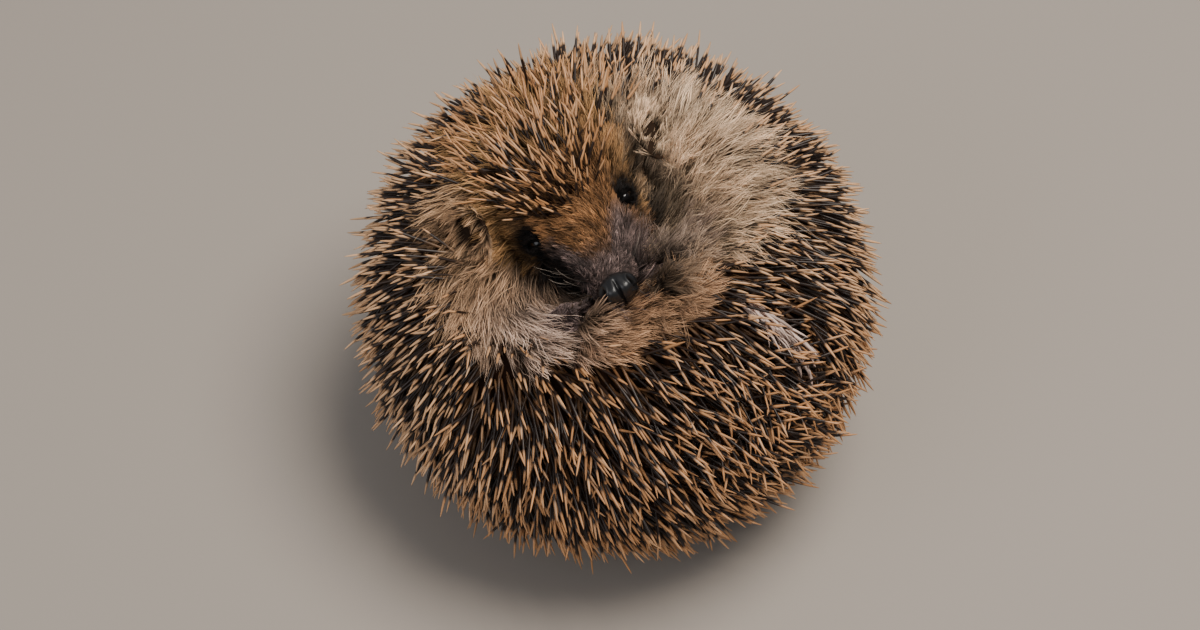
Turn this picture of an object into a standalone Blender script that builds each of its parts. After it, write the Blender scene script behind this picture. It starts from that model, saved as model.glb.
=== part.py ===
"""A curled European hedgehog, life size, lying on its back and right side with its face up and out.

The solids reach to the tips of the spines and fur. The body is a ball with a furry hollow, the
head lies in the hollow, and the folded legs and the tail fill the space under the chin.

Curl frame: X to the animal's left, Y from the chin up over the crown, Z straight out of the face.
Head frame: origin at the tip of the snout, X to the animal's left, Y back along the skull, Z up
through the crown.
World frame: Z up, origin on the floor under the middle of the ball, +Y away from the face.
"""

import math

import bmesh
import bpy
from mathutils import Matrix, Vector

# Driving dimensions, in metres and degrees.
BALL_RADIUS = 0.0750  # across the face axis, out to the spine tips
BALL_HALF_DEPTH = 0.0610  # along the face axis
BALL_SIDES = 40
FLOOR_RINGS, WALL_RINGS, RIM_RINGS, BACK_RINGS = 2, 6, 8, 10  # of the hollow, then round the ball
SWELLS = (  # haunches, shoulders and loin under the coat: way out of the ball, height, spread
    ((0.62, -0.55, -0.42), 0.0016, 0.42),
    ((-0.62, -0.55, -0.42), 0.0016, 0.42),
    ((0.50, 0.62, -0.45), 0.0014, 0.40),
    ((-0.50, 0.62, -0.45), 0.0014, 0.40),
    ((0.0, -0.05, -1.0), -0.0016, 0.34),
)
FACE_RISE = math.radians(55)  # how steeply the face looks up from the floor
BODY_ROLL = math.radians(28)  # how far the animal leans over to its right
SNOUT_RISE = math.radians(44)  # how steeply the snout stands out of the ball
COAT_CRUSH = 0.0055  # spine height pressed flat under the animal
CENTRING = (-0.0001, -0.0005)  # of the ball, so that its whole outline is centred on the origin
GAP = 0.0003  # clearance between neighbouring solids

# The hollow that the mantle leaves round the face: its middle and its reach from there.
HOLLOW_MIDDLE = (0.0040, 0.0120)
HOLLOW_REACH_SIDE = 0.0460
HOLLOW_REACH_CROWN = 0.0320
HOLLOW_REACH_CHIN = 0.0210
HOLLOW_DEPTH = 0.0300
HOLLOW_FLOOR_SHARE = 0.55  # of the reach, before the walls start to climb

# Head, from the tip of the snout back. Rows: distance back, half width, height above and below
# the line from snout to skull base.
SNOUT_TIP = Vector((0.0012, -0.0010, 0.0535))
HEAD_ROWS = (
    (0.0028, 0.0056, 0.0046, 0.0050),
    (0.0085, 0.0076, 0.0066, 0.0074),
    (0.0160, 0.0104, 0.0094, 0.0104),
    (0.0235, 0.0137, 0.0124, 0.0136),
    (0.0310, 0.0182, 0.0154, 0.0168),
    (0.0400, 0.0238, 0.0180, 0.0196),
    (0.0500, 0.0262, 0.0196, 0.0210),
    (0.0580, 0.0262, 0.0200, 0.0214),
    (0.0660, 0.0232, 0.0190, 0.0200),
)
HEAD_SIDES = 24
HEAD_RINGS = 15
HEAD_FULLNESS = 2.2  # superellipse power of a slice through the head

# The spined crown of the head, as a rounded block: the ball's outside from the brow to the nape.
CROWN_HALF_WIDTH = 0.0240
CROWN_BROW, CROWN_NAPE = 0.0255, 0.0640
CROWN_BASE = 0.0200
CROWN_FULLNESS = 3.0
CROWN_SIDES = 28


NOSE_SIZE = (0.0052, 0.0042, 0.0043)
NOSE_BACK = 0.0030
EYE_RADIUS = 0.0029
EYE_PLACE = (0.0130, 0.0290, 0.0040)  # to the side, back and up, in the head frame
EAR_SIZE = (0.0088, 0.0100, 0.0030)  # half width, half height and half depth of the cup
EAR_PLACE = (0.0252, 0.0370, 0.0120)
EAR_TURN = math.radians(45)  # how far the cup faces out to the side
EAR_WALL = 0.0014
EAR_POCKET = (0.0105, 0.0115, 0.0240)  # half sizes of the hollow in the ruff in front of an ear
EAR_POCKET_OUT = 0.0080  # from the ear to the middle of that hollow

MOUTH_FRONT, MOUTH_BACK = 0.0050, 0.0300  # along the head
MOUTH_DROP_FRONT, MOUTH_DROP_BACK = 0.0030, 0.0072  # under the head's line

FLOOR_BLOCK = 0.4  # side of the block that trims the resting flat
BALL_HEIGHT = (
    math.hypot(BALL_RADIUS * math.cos(FACE_RISE), BALL_HALF_DEPTH * math.sin(FACE_RISE))
    - COAT_CRUSH
)

# Where the back is parted, as angles about the lateral axis through the middle of the curl.
CURL_MIDDLE = Vector((0.0, 0.0120, 0.0060))
FACE_CUT, NAPE_CUT, RUMP_CUT = math.radians(90), math.radians(-15), math.radians(192)


def clear_scene():
    for obj in list(bpy.data.objects):
        bpy.data.objects.remove(obj)


def make_material(name, colour, roughness):
    material = bpy.data.materials.new(name)
    material.use_nodes = True
    shader = material.node_tree.nodes["Principled BSDF"]
    shader.inputs["Base Color"].default_value = (*colour, 1.0)
    shader.inputs["Roughness"].default_value = roughness
    shader.inputs["Metallic"].default_value = 0.0
    return material


def make_frame(name, parent, matrix):
    """An empty that carries the pieces of one frame."""
    empty = bpy.data.objects.new(name, None)
    bpy.context.scene.collection.objects.link(empty)
    empty.parent = parent
    empty.matrix_local = matrix
    return empty


def add_object(name, mesh, frame, material=None):
    """A node in a frame. With no material it is a cutter, which the model leaves out."""
    obj = bpy.data.objects.new(name, mesh)
    bpy.context.scene.collection.objects.link(obj)
    obj.parent = frame
    if material is None:
        obj.hide_render = True
        obj.display_type = "WIRE"
    else:
        mesh.materials.append(material)
        mesh.shade_smooth()
        mesh.set_sharp_from_angle(angle=math.radians(38))
    return obj


def boolean(obj, operation, *cutters):
    for cutter in cutters:
        modifier = obj.modifiers.new(f"{operation.lower()} {cutter.name}", "BOOLEAN")
        modifier.operation = operation
        modifier.solver = "EXACT"
        modifier.object = cutter


def mesh_from(bm, name):
    bmesh.ops.recalc_face_normals(bm, faces=bm.faces)
    if bm.calc_volume(signed=True) < 0:
        bmesh.ops.reverse_faces(bm, faces=bm.faces)
    mesh = bpy.data.meshes.new(name)
    bm.to_mesh(mesh)
    bm.free()
    return mesh


# ---------------------------------------------------------------- the ball of the body


def hollow_sink(x, y):
    """How deep the furry hollow is under a point of the ball's face side."""
    across = (x - HOLLOW_MIDDLE[0]) / HOLLOW_REACH_SIDE
    along = y - HOLLOW_MIDDLE[1]
    along /= HOLLOW_REACH_CROWN if along > 0 else HOLLOW_REACH_CHIN
    climb = (math.hypot(across, along) - HOLLOW_FLOOR_SHARE) / (1 - HOLLOW_FLOOR_SHARE)
    return HOLLOW_DEPTH * 0.5 * (1 + math.cos(math.pi * min(max(climb, 0.0), 1.0)))


def hollow_reach(turn):
    """How far the hollow's rim is from its middle, along X and Y, towards one turn."""
    chin_or_crown = HOLLOW_REACH_CROWN if math.sin(turn) > 0 else HOLLOW_REACH_CHIN
    return HOLLOW_REACH_SIDE * math.cos(turn), chin_or_crown * math.sin(turn)


def swollen(point):
    """A point of the plain ball, moved by the bulges of the body under it."""
    way = point.normalized()
    height = 0.0
    for axis, peak, spread in SWELLS:
        apart = way.angle(Vector(axis))
        height += peak * math.exp(-((apart / spread) ** 2))
    return point + way * height


def ball_rings(hollowed):
    """Rings of points from the middle of the face side, over the rim, to the middle of the back."""
    turns = [2 * math.pi * side / BALL_SIDES for side in range(BALL_SIDES)]
    shares = [HOLLOW_FLOOR_SHARE * (ring + 1) / FLOOR_RINGS for ring in range(FLOOR_RINGS)]
    wall = 1 - HOLLOW_FLOOR_SHARE
    shares += [HOLLOW_FLOOR_SHARE + wall * (ring + 1) / WALL_RINGS for ring in range(WALL_RINGS)]
    flats = []
    for share in shares:
        reaches = [hollow_reach(turn) for turn in turns]
        flats.append(
            [(HOLLOW_MIDDLE[0] + share * x, HOLLOW_MIDDLE[1] + share * y) for x, y in reaches]
        )
    rim = flats[-1]
    for ring in range(1, RIM_RINGS + 1):
        out = math.sin(math.pi / 2 * ring / RIM_RINGS)
        edge = [(BALL_RADIUS * math.cos(turn), BALL_RADIUS * math.sin(turn)) for turn in turns]
        flats.append(
            [
                (near[0] + (far[0] - near[0]) * out, near[1] + (far[1] - near[1]) * out)
                for near, far in zip(rim, edge)
            ]
        )
    for flat in flats:
        ring = []
        for x, y in flat:
            height = math.sqrt(max(1 - (x**2 + y**2) / BALL_RADIUS**2, 0.0))
            point = swollen(Vector((x, y, BALL_HALF_DEPTH * height)))
            if hollowed:
                point.z -= hollow_sink(x, y)
            ring.append(point)
        yield ring
    for step in range(1, BACK_RINGS):
        back = math.pi / 2 * step / BACK_RINGS
        out = BALL_RADIUS * math.cos(back)
        depth = -BALL_HALF_DEPTH * math.sin(back)
        yield [swollen(Vector((out * math.cos(t), out * math.sin(t), depth))) for t in turns]


def ball_mesh(name, hollowed=True):
    """The curled body out to the spine tips, with the hollow for the face pressed into it."""
    rings = list(ball_rings(hollowed))
    front = sum(rings[0], Vector()) / BALL_SIDES
    bm = bmesh.new()
    loft(bm, rings, front, swollen(Vector((0, 0, -BALL_HALF_DEPTH))))
    return mesh_from(bm, name)


def crown_mesh(name, grow=0.0):
    """A rounded upright block over the top of the head, from the brow to the nape."""
    half_length = (CROWN_NAPE - CROWN_BROW) / 2
    bm = bmesh.new()
    loops = []
    for height in (CROWN_BASE - grow, 0.08):
        loop = []
        for side in range(CROWN_SIDES):
            turn = 2 * math.pi * side / CROWN_SIDES
            x = superellipse(math.cos(turn), CROWN_FULLNESS) * (CROWN_HALF_WIDTH + grow)
            y = superellipse(math.sin(turn), CROWN_FULLNESS) * (half_length + grow)
            loop.append((SNOUT_TIP.x + x, (CROWN_NAPE + CROWN_BROW) / 2 + y, height))
        loops.append(loop)
    loft(bm, loops, None, None)
    return mesh_from(bm, name)


def wedge_mesh(name, start, end):
    """A prism that holds one stretch of the curled back, between two angles about its middle."""
    reach, half_width, steps = 0.2, 0.1, 4
    half = (end - start) / 2
    middle = start + half
    apex = CURL_MIDDLE.yz + Vector((math.cos(middle), math.sin(middle))) * (
        GAP / 2 / math.sin(half)
    )
    outline = [apex]
    for step in range(steps + 1):
        turn = start + (end - start) * step / steps
        outline.append(apex + reach * Vector((math.cos(turn), math.sin(turn))))
    bm = bmesh.new()
    ends = []
    for side in (-half_width, half_width):
        ends.append([bm.verts.new((side, y, z)) for y, z in outline])
    for near in range(len(outline)):
        far = (near + 1) % len(outline)
        bm.faces.new((ends[0][near], ends[0][far], ends[1][far], ends[1][near]))
    bm.faces.new(ends[0])
    bm.faces.new(ends[1])
    return mesh_from(bm, name)


def block_mesh(name, low, high, drop=0.0):
    """A box. Its top tilts down by drop from the low Y end to the high one."""
    bm = bmesh.new()
    bmesh.ops.create_cube(bm, size=1.0)
    for vert in bm.verts:
        share = [vert.co[axis] + 0.5 for axis in range(3)]
        vert.co = [low[axis] + (high[axis] - low[axis]) * share[axis] for axis in range(3)]
        vert.co.z -= drop * share[1] * share[2]
    return mesh_from(bm, name)


# ---------------------------------------------------------------- lofted pieces


def superellipse(part, power):
    """A sine or cosine squared off towards the sides of a box."""
    return math.copysign(abs(part) ** (2 / power), part)


def smooth_rows(rows, count):
    """Rows of sizes, evened out to count rows by a smooth curve through the given ones."""
    result = []
    for step in range(count):
        place = step * (len(rows) - 1) / (count - 1)
        index = min(int(place), len(rows) - 2)
        share = place - index
        before, here = rows[max(index - 1, 0)], rows[index]
        there, after = rows[index + 1], rows[min(index + 2, len(rows) - 1)]
        result.append(
            tuple(
                b
                + 0.5 * share * (c - a)
                + share**2 * (a - 2.5 * b + 2 * c - 0.5 * d)
                + share**3 * (1.5 * b - 0.5 * a - 1.5 * c + 0.5 * d)
                for a, b, c, d in zip(before, here, there, after)
            )
        )
    return result


def loft(bm, rings, tip_start, tip_end):
    """Skins rings of points. Each end closes on a tip, or flat where the tip is None."""
    loops = [[bm.verts.new(point) for point in ring] for ring in rings]
    sides = len(loops[0])
    for first, second in zip(loops, loops[1:]):
        for near in range(sides):
            far = (near + 1) % sides
            bm.faces.new((first[near], first[far], second[far], second[near]))
    for loop, tip in ((loops[0], tip_start), (loops[-1], tip_end)):
        if tip is None:
            bm.faces.new(loop)
            continue
        point = bm.verts.new(tip)
        for near in range(sides):
            bm.faces.new((loop[near], loop[(near + 1) % sides], point))


def head_mesh(name, grow=0.0):
    """The head out to the tips of its fur and, from the brow back, of its spines."""
    rings = []
    for back, width, above, below in smooth_rows(HEAD_ROWS, HEAD_RINGS):
        ring = []
        for side in range(HEAD_SIDES):
            turn = 2 * math.pi * side / HEAD_SIDES
            across = superellipse(math.cos(turn), HEAD_FULLNESS)
            up = superellipse(math.sin(turn), HEAD_FULLNESS)
            height = above if up > 0 else below
            ring.append(Vector((across * (width + grow), back, up * (height + grow))))
        rings.append(ring)
    for point in rings[-1]:
        point.y += grow
    bm = bmesh.new()
    loft(bm, rings, (0, HEAD_ROWS[0][0] - 0.0016 - grow, 0), None)
    return mesh_from(bm, name)


def limb_mesh(name, path, radii, grow=0.0, flatten=1.0, rings=7, sides=10):
    """A tapering limb along a smooth path, with round ends."""
    rows = smooth_rows([(*point, radius) for point, radius in zip(path, radii)], rings)
    points = [Vector(row[:3]) for row in rows]
    side_hint = Vector((1, 0, 0))
    bands = []
    for index, point in enumerate(points):
        ahead = points[min(index + 1, rings - 1)] - points[max(index - 1, 0)]
        ahead.normalize()
        across = (side_hint - ahead * side_hint.dot(ahead)).normalized()
        up = ahead.cross(across)
        radius = rows[index][3]
        share = index / (rings - 1)
        flat = 1 + (flatten - 1) * share
        band = []
        for side in range(sides):
            turn = 2 * math.pi * side / sides
            wide = math.cos(turn) * (radius + grow)
            tall = math.sin(turn) * (radius * flat + grow)
            band.append(point + across * wide + up * tall)
        bands.append((band, point, ahead, radius))
    capped = [band for band, *_ in bands]
    for end, sign in ((0, -1), (-1, 1)):
        band, middle, ahead, radius = bands[end]
        shoulder = [middle + (p - middle) * 0.72 + ahead * sign * radius * 0.62 for p in band]
        if end == 0:
            capped.insert(0, shoulder)
        else:
            capped.append(shoulder)
    _, first, first_way, first_radius = bands[0]
    _, last, last_way, last_radius = bands[-1]
    bm = bmesh.new()
    loft(
        bm,
        capped,
        first - first_way * (first_radius * 0.95 + grow),
        last + last_way * (last_radius * 0.95 + grow),
    )
    return mesh_from(bm, name)


def ellipsoid_mesh(name, sizes, middle=(0, 0, 0), turn=None, grow=0.0, segments=14, rings=9):
    bm = bmesh.new()
    bmesh.ops.create_uvsphere(bm, u_segments=segments, v_segments=rings, radius=1.0)
    for vert in bm.verts:
        vert.co = [(size + grow) * axis for size, axis in zip(sizes, vert.co)]
        if turn is not None:
            vert.co = turn @ vert.co
        vert.co += Vector(middle)
    return mesh_from(bm, name)


# ---------------------------------------------------------------- the parts of the animal

LEFT, RIGHT = 1, -1
SIDE_NAMES = {LEFT: "left", RIGHT: "right"}

# Folded limbs, in the curl frame for the left side: shoulder or hip to paw, with radii.
FORELEG_PATH = (
    (0.0210, 0.0120, 0.0120),
    (0.0255, 0.0040, 0.0240),
    (0.0235, 0.0010, 0.0360),
    (0.0156, 0.0018, 0.0432),
)
FORELEG_RADII = (0.0062, 0.0056, 0.0046, 0.0040)
HINDLEG_PATH = (
    (0.0210, -0.0190, 0.0170),
    (0.0150, -0.0130, 0.0310),
    (0.0115, -0.0050, 0.0470),
)
HINDLEG_RADII = (0.0078, 0.0058, 0.0040)
TAIL_PATH = ((0.0015, -0.0210, 0.0300), (0.0015, -0.0120, 0.0350), (0.0015, -0.0050, 0.0450))
TAIL_RADII = (0.0042, 0.0028, 0.0014)
LIMB_FLATNESS = 0.8  # height over width where a paw ends
TOE_SIZE = (0.0013, 0.0029, 0.0012)
TOE_SPREADS = (-0.80, -0.28, 0.28, 0.80)  # across the paw, in paw radii


def mirrored(path, side):
    """A path on one side of the head's own middle plane."""
    return [(SNOUT_TIP.x + side * (x - SNOUT_TIP.x), y, z) for x, y, z in path]


def build_head(head_frame, ball_frame, materials):
    """The head with its nose pad, jaw, eyes and ears. Returns what its neighbours are cut by."""
    head = add_object("head", head_mesh("head"), head_frame, materials["fur"])
    grown_head = add_object("cut_head", head_mesh("cut_head", GAP), head_frame)
    ear_beds, ear_pockets = zip(
        *(build_ear(SIDE_NAMES[side], side, head_frame, grown_head, materials) for side in (LEFT, RIGHT))
    )
    crown = add_object("cut_crown", ball_mesh("cut_crown", hollowed=False), ball_frame)
    inside = add_object("cut_crown_inside", crown_mesh("cut_crown_inside"), ball_frame)
    boolean(crown, "INTERSECT", inside)
    boolean(crown, "DIFFERENCE", *ear_beds)
    boolean(head, "UNION", crown)

    def jaw_block(name, grow):
        low = (-0.03, MOUTH_FRONT - 0.0100, -0.05)
        high = (0.03, MOUTH_BACK + grow, -MOUTH_DROP_FRONT + grow)
        mesh = block_mesh(name, low, high, drop=MOUTH_DROP_BACK - MOUTH_DROP_FRONT)
        return add_object(name, mesh, head_frame)

    jaw = add_object("lower_jaw", head_mesh("lower_jaw"), head_frame, materials["fur"])
    boolean(jaw, "INTERSECT", jaw_block("cut_jaw_inside", 0.0))
    boolean(head, "DIFFERENCE", jaw_block("cut_jaw", GAP))

    middle = (0, NOSE_BACK, 0.0004)
    nose_mesh = ellipsoid_mesh("nose", NOSE_SIZE, middle, segments=18, rings=11)
    nose = add_object("nose", nose_mesh, head_frame, materials["nose"])
    grown_nose = add_object(
        "cut_nose", ellipsoid_mesh("cut_nose", NOSE_SIZE, middle, grow=GAP), head_frame
    )
    boolean(head, "DIFFERENCE", grown_nose)
    boolean(jaw, "DIFFERENCE", grown_nose)
    for side in (LEFT, RIGHT):
        place = (side * NOSE_SIZE[0] * 0.78, NOSE_BACK - 0.0024, 0.0006)
        turn = Matrix.Rotation(side * math.radians(24), 3, "Y")
        nostril = ellipsoid_mesh(
            "cut_nostril", (0.0009, 0.0022, 0.0016), place, turn, segments=10, rings=6
        )
        boolean(nose, "DIFFERENCE", add_object("cut_nostril", nostril, head_frame))

    for side in (LEFT, RIGHT):
        name = SIDE_NAMES[side]
        place = Vector((side * EYE_PLACE[0], *EYE_PLACE[1:]))
        ball = ellipsoid_mesh(f"eye_{name}", (EYE_RADIUS,) * 3, place)
        add_object(f"eye_{name}", ball, head_frame, materials["eye"])
        socket = ellipsoid_mesh("cut_eye", (EYE_RADIUS,) * 3, place, grow=GAP)
        boolean(head, "DIFFERENCE", add_object("cut_eye", socket, head_frame))
    crown_room = add_object("cut_crown_room", crown_mesh("cut_crown_room", GAP), ball_frame)
    return [crown_room, grown_head, *ear_beds, *ear_pockets]


def build_ear(name, side, head_frame, grown_head, materials):
    """A cupped ear that faces out and forward. Returns its bed, and the hollow in front of it."""
    place = Vector((side * EAR_PLACE[0], *EAR_PLACE[1:]))
    facing = head_frame.matrix_local.to_3x3().inverted() @ Vector((0, 0, 1))
    turn = facing.to_track_quat("Z", "Y").to_matrix() @ Matrix.Rotation(side * EAR_TURN, 3, "Y")
    cup = ellipsoid_mesh(f"ear_{name}", EAR_SIZE, place, turn, segments=16)
    ear = add_object(f"ear_{name}", cup, head_frame, materials["ear"])
    inside = place + turn @ Vector((0, 0, EAR_WALL * 1.6))
    sizes = [size - EAR_WALL for size in EAR_SIZE[:2]] + [EAR_SIZE[2]]
    hollow = ellipsoid_mesh("cut_ear_cup", sizes, inside, turn)
    boolean(ear, "DIFFERENCE", add_object("cut_ear_cup", hollow, head_frame), grown_head)
    bed = ellipsoid_mesh("cut_ear_bed", EAR_SIZE, place, turn, grow=GAP, segments=16)
    straight_out = facing.to_track_quat("Z", "Y").to_matrix()
    opening = place + straight_out @ Vector((0, 0, EAR_POCKET_OUT))
    pocket = ellipsoid_mesh("cut_ear_pocket", EAR_POCKET, opening, straight_out, grow=GAP)
    return (
        add_object("cut_ear_bed", bed, head_frame),
        add_object("cut_ear_pocket", pocket, head_frame),
    )


def build_toes(path, radius, ball_frame, grow=0.0):
    """Four toes fanned out at the end of a paw."""
    end = Vector(path[-1])
    ahead = (end - Vector(path[-2])).normalized()
    across = (Vector((1, 0, 0)) - ahead * ahead.x).normalized()
    toes = []
    for spread in TOE_SPREADS:
        way = (ahead + across * spread * 0.4).normalized()
        sideways = (across - way * across.dot(way)).normalized()
        turn = Matrix((sideways, way, sideways.cross(way))).transposed()
        middle = end + across * spread * radius + ahead * radius * (1.15 - 0.4 * abs(spread))
        toe = ellipsoid_mesh("cut_toe", TOE_SIZE, middle, turn, grow, segments=6, rings=4)
        toes.append(add_object("cut_toe", toe, ball_frame))
    return toes


def build_limbs(ball_frame, grown_head, materials):
    """The four folded legs and the tail. Returns what the body is cut by to hold them."""
    limbs = []
    for side in (LEFT, RIGHT):
        for kind, path, radii in (
            ("foreleg", FORELEG_PATH, FORELEG_RADII),
            ("hindleg", HINDLEG_PATH, HINDLEG_RADII),
        ):
            limbs.append((f"{kind}_{SIDE_NAMES[side]}", mirrored(path, side), radii, LIMB_FLATNESS))
    limbs.append(("tail", TAIL_PATH, TAIL_RADII, 1.0))
    cutters = []
    for name, path, radii, flatten in limbs:
        mesh = limb_mesh(name, path, radii, flatten=flatten)
        limb = add_object(name, mesh, ball_frame, materials["skin"])
        grown = limb_mesh(f"cut_{name}", path, radii, GAP, flatten)
        cutters.append(add_object(f"cut_{name}", grown, ball_frame))
        if name != "tail":
            boolean(limb, "UNION", *build_toes(path, radii[-1], ball_frame))
            cutters += build_toes(path, radii[-1], ball_frame, GAP)
        boolean(limb, "DIFFERENCE", grown_head)
    return cutters


def build_body(ball_frame, head_cutters, limb_cutters, materials):
    """Neck, trunk and rump: one curled back, parted by thin cuts through its middle."""
    stretches = {
        "neck": (NAPE_CUT, FACE_CUT),
        "trunk": (RUMP_CUT, NAPE_CUT + 2 * math.pi),
        "rump": (FACE_CUT, RUMP_CUT),
    }
    side = FLOOR_BLOCK / 2
    floor = add_object("cut_floor", block_mesh("cut_floor", (-side, -side, -side), (side, side, 0.0)), None)
    for name, (start, end) in stretches.items():
        piece = add_object(name, ball_mesh(name), ball_frame, materials["spines"])
        wedge = add_object(f"cut_{name}", wedge_mesh(f"cut_{name}", start, end), ball_frame)
        boolean(piece, "INTERSECT", wedge)
        boolean(piece, "DIFFERENCE", *head_cutters)
        boolean(piece, "DIFFERENCE", *limb_cutters)
        boolean(piece, "DIFFERENCE", floor)


def main():
    clear_scene()
    materials = {
        "spines": make_material("spine_keratin", (0.20, 0.14, 0.09), 0.55),
        "fur": make_material("fur", (0.16, 0.10, 0.055), 0.7),
        "skin": make_material("paw_skin", (0.10, 0.07, 0.06), 0.6),
        "ear": make_material("ear_skin", (0.13, 0.09, 0.075), 0.6),
        "nose": make_material("nose_leather", (0.012, 0.011, 0.012), 0.2),
        "eye": make_material("eye", (0.006, 0.005, 0.005), 0.05),
    }
    ball_turn = Matrix.Rotation(math.pi / 2 - FACE_RISE, 4, "X") @ Matrix.Rotation(BODY_ROLL, 4, "Z")
    ball_frame = make_frame("curl", None, Matrix.Translation((*CENTRING, BALL_HEIGHT)) @ ball_turn)
    head_place = Matrix.Translation(SNOUT_TIP) @ Matrix.Rotation(-SNOUT_RISE, 4, "X")
    head_frame = make_frame("skull", ball_frame, head_place)
    head_cutters = build_head(head_frame, ball_frame, materials)
    _, grown_head, *_ = head_cutters
    limb_cutters = build_limbs(ball_frame, grown_head, materials)
    build_body(ball_frame, head_cutters, limb_cutters, materials)


main()
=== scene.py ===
"""A European hedgehog, life size, curled up on its back and right side with its face looking out.

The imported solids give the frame. This script puts one skin over all the flesh, combs the coat
over it as solid mesh, first the spines and then the fur, and adds the nose, eyes, claws,
whiskers and one matted clump of spines.
"""

import math

import bmesh
import bpy
import numpy as np
from mathutils import Matrix, Vector, noise


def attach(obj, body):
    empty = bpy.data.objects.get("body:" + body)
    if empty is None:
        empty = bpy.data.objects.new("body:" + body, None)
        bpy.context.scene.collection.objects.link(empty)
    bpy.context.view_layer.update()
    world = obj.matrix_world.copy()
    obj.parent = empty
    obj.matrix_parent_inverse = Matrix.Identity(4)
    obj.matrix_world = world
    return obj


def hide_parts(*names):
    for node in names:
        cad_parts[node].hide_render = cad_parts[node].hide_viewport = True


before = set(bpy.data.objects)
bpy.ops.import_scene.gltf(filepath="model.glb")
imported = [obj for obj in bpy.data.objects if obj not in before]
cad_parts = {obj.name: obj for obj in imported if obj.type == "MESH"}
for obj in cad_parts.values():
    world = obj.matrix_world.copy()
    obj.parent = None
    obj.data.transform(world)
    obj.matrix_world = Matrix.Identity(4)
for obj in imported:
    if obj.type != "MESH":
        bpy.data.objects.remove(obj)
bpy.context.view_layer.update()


# ---- The curled body under its coat -----------------------------------------------------------
# Flesh and loose spiny skin, drawn together like a bag into a ball. The mouth of the bag is the
# hollow that the face, the paws and the tail lie in. The animal rests on its back and right side.

FACE_RISE = math.radians(55)
BODY_ROLL = math.radians(28)
COAT_RADIUS, COAT_HALF_DEPTH = 0.0750, 0.0610  # out to the spine tips
COAT_CRUSH = 0.0055  # how far the coat gives under the animal's weight
BODY_RADIUS, BODY_HALF_DEPTH = 0.0625, 0.0485  # the bare body
BALL_REACH = math.hypot(COAT_RADIUS * math.cos(FACE_RISE), COAT_HALF_DEPTH * math.sin(FACE_RISE))
BALL_CENTRE = Vector((-0.0001, -0.0005, BALL_REACH - COAT_CRUSH))
# The curl frame has X to the animal's left, Y over its crown and Z straight out of the face.
CURL_TURN = Matrix.Rotation(math.pi / 2 - FACE_RISE, 3, "X") @ Matrix.Rotation(BODY_ROLL, 3, "Z")
CURL = np.array(CURL_TURN)
HOLLOW_MIDDLE = (0.0040, 0.0120)
HOLLOW_SIDE, HOLLOW_CROWN, HOLLOW_CHIN = 0.0460, 0.0320, 0.0210  # rim of the coat's hollow
BODY_SIDES = 72


def to_curl(points):
    """World points in the curl frame."""
    return (points - np.array(BALL_CENTRE)) @ CURL


def from_curl(points):
    return points @ CURL.T + np.array(BALL_CENTRE)


def hollow_share(x, y, extra=0.0):
    """How far a point is from the hollow's middle: 1 at its rim, moved out by extra."""
    across = (x - HOLLOW_MIDDLE[0]) / (HOLLOW_SIDE + extra)
    along = y - HOLLOW_MIDDLE[1]
    along = along / np.where(along > 0, HOLLOW_CROWN + extra, HOLLOW_CHIN + extra)
    return np.hypot(across, along)


def smooth_step(low, high, value):
    share = np.clip((value - low) / (high - low), 0, 1)
    return share * share * (3 - 2 * share)


def circle(sides):
    """The turn to each of so many points evenly spaced round a circle."""
    return np.arange(sides) * 2 * math.pi / sides


def tube_faces(sides, rings):
    """Faces between the rings of a tube, and those that close it to a tip at each end."""
    quads, caps = [], []
    for ring in range(rings - 1):
        for side in range(sides):
            near_side, far_side = ring * sides + side, ring * sides + (side + 1) % sides
            quads.append((near_side, far_side, far_side + sides, near_side + sides))
    last = (rings - 1) * sides
    for side in range(sides):
        caps.append(((side + 1) % sides, side, rings * sides))
    for side in range(sides):
        caps.append((last + side, last + (side + 1) % sides, rings * sides + 1))
    return quads, caps


def loft(rings, tip_start, tip_end):
    """Vertices and faces of a tube skinned over rings of points, closed with a tip at each end."""
    quads, caps = tube_faces(len(rings[0]), len(rings))
    return np.vstack([*rings, tip_start, tip_end]), quads + caps


# How much nearer the hollow's walls stand, by the turn round its middle in degrees: they close
# up under the chin and on the animal's left of the muzzle.
WALLS = (
    (-180, 0.94), (-140, 0.86), (-100, 0.80), (-65, 0.70), (-35, 0.68), (-5, 0.80), (25, 0.96),
    (60, 1.0), (150, 1.0), (180, 0.94),
)


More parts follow.
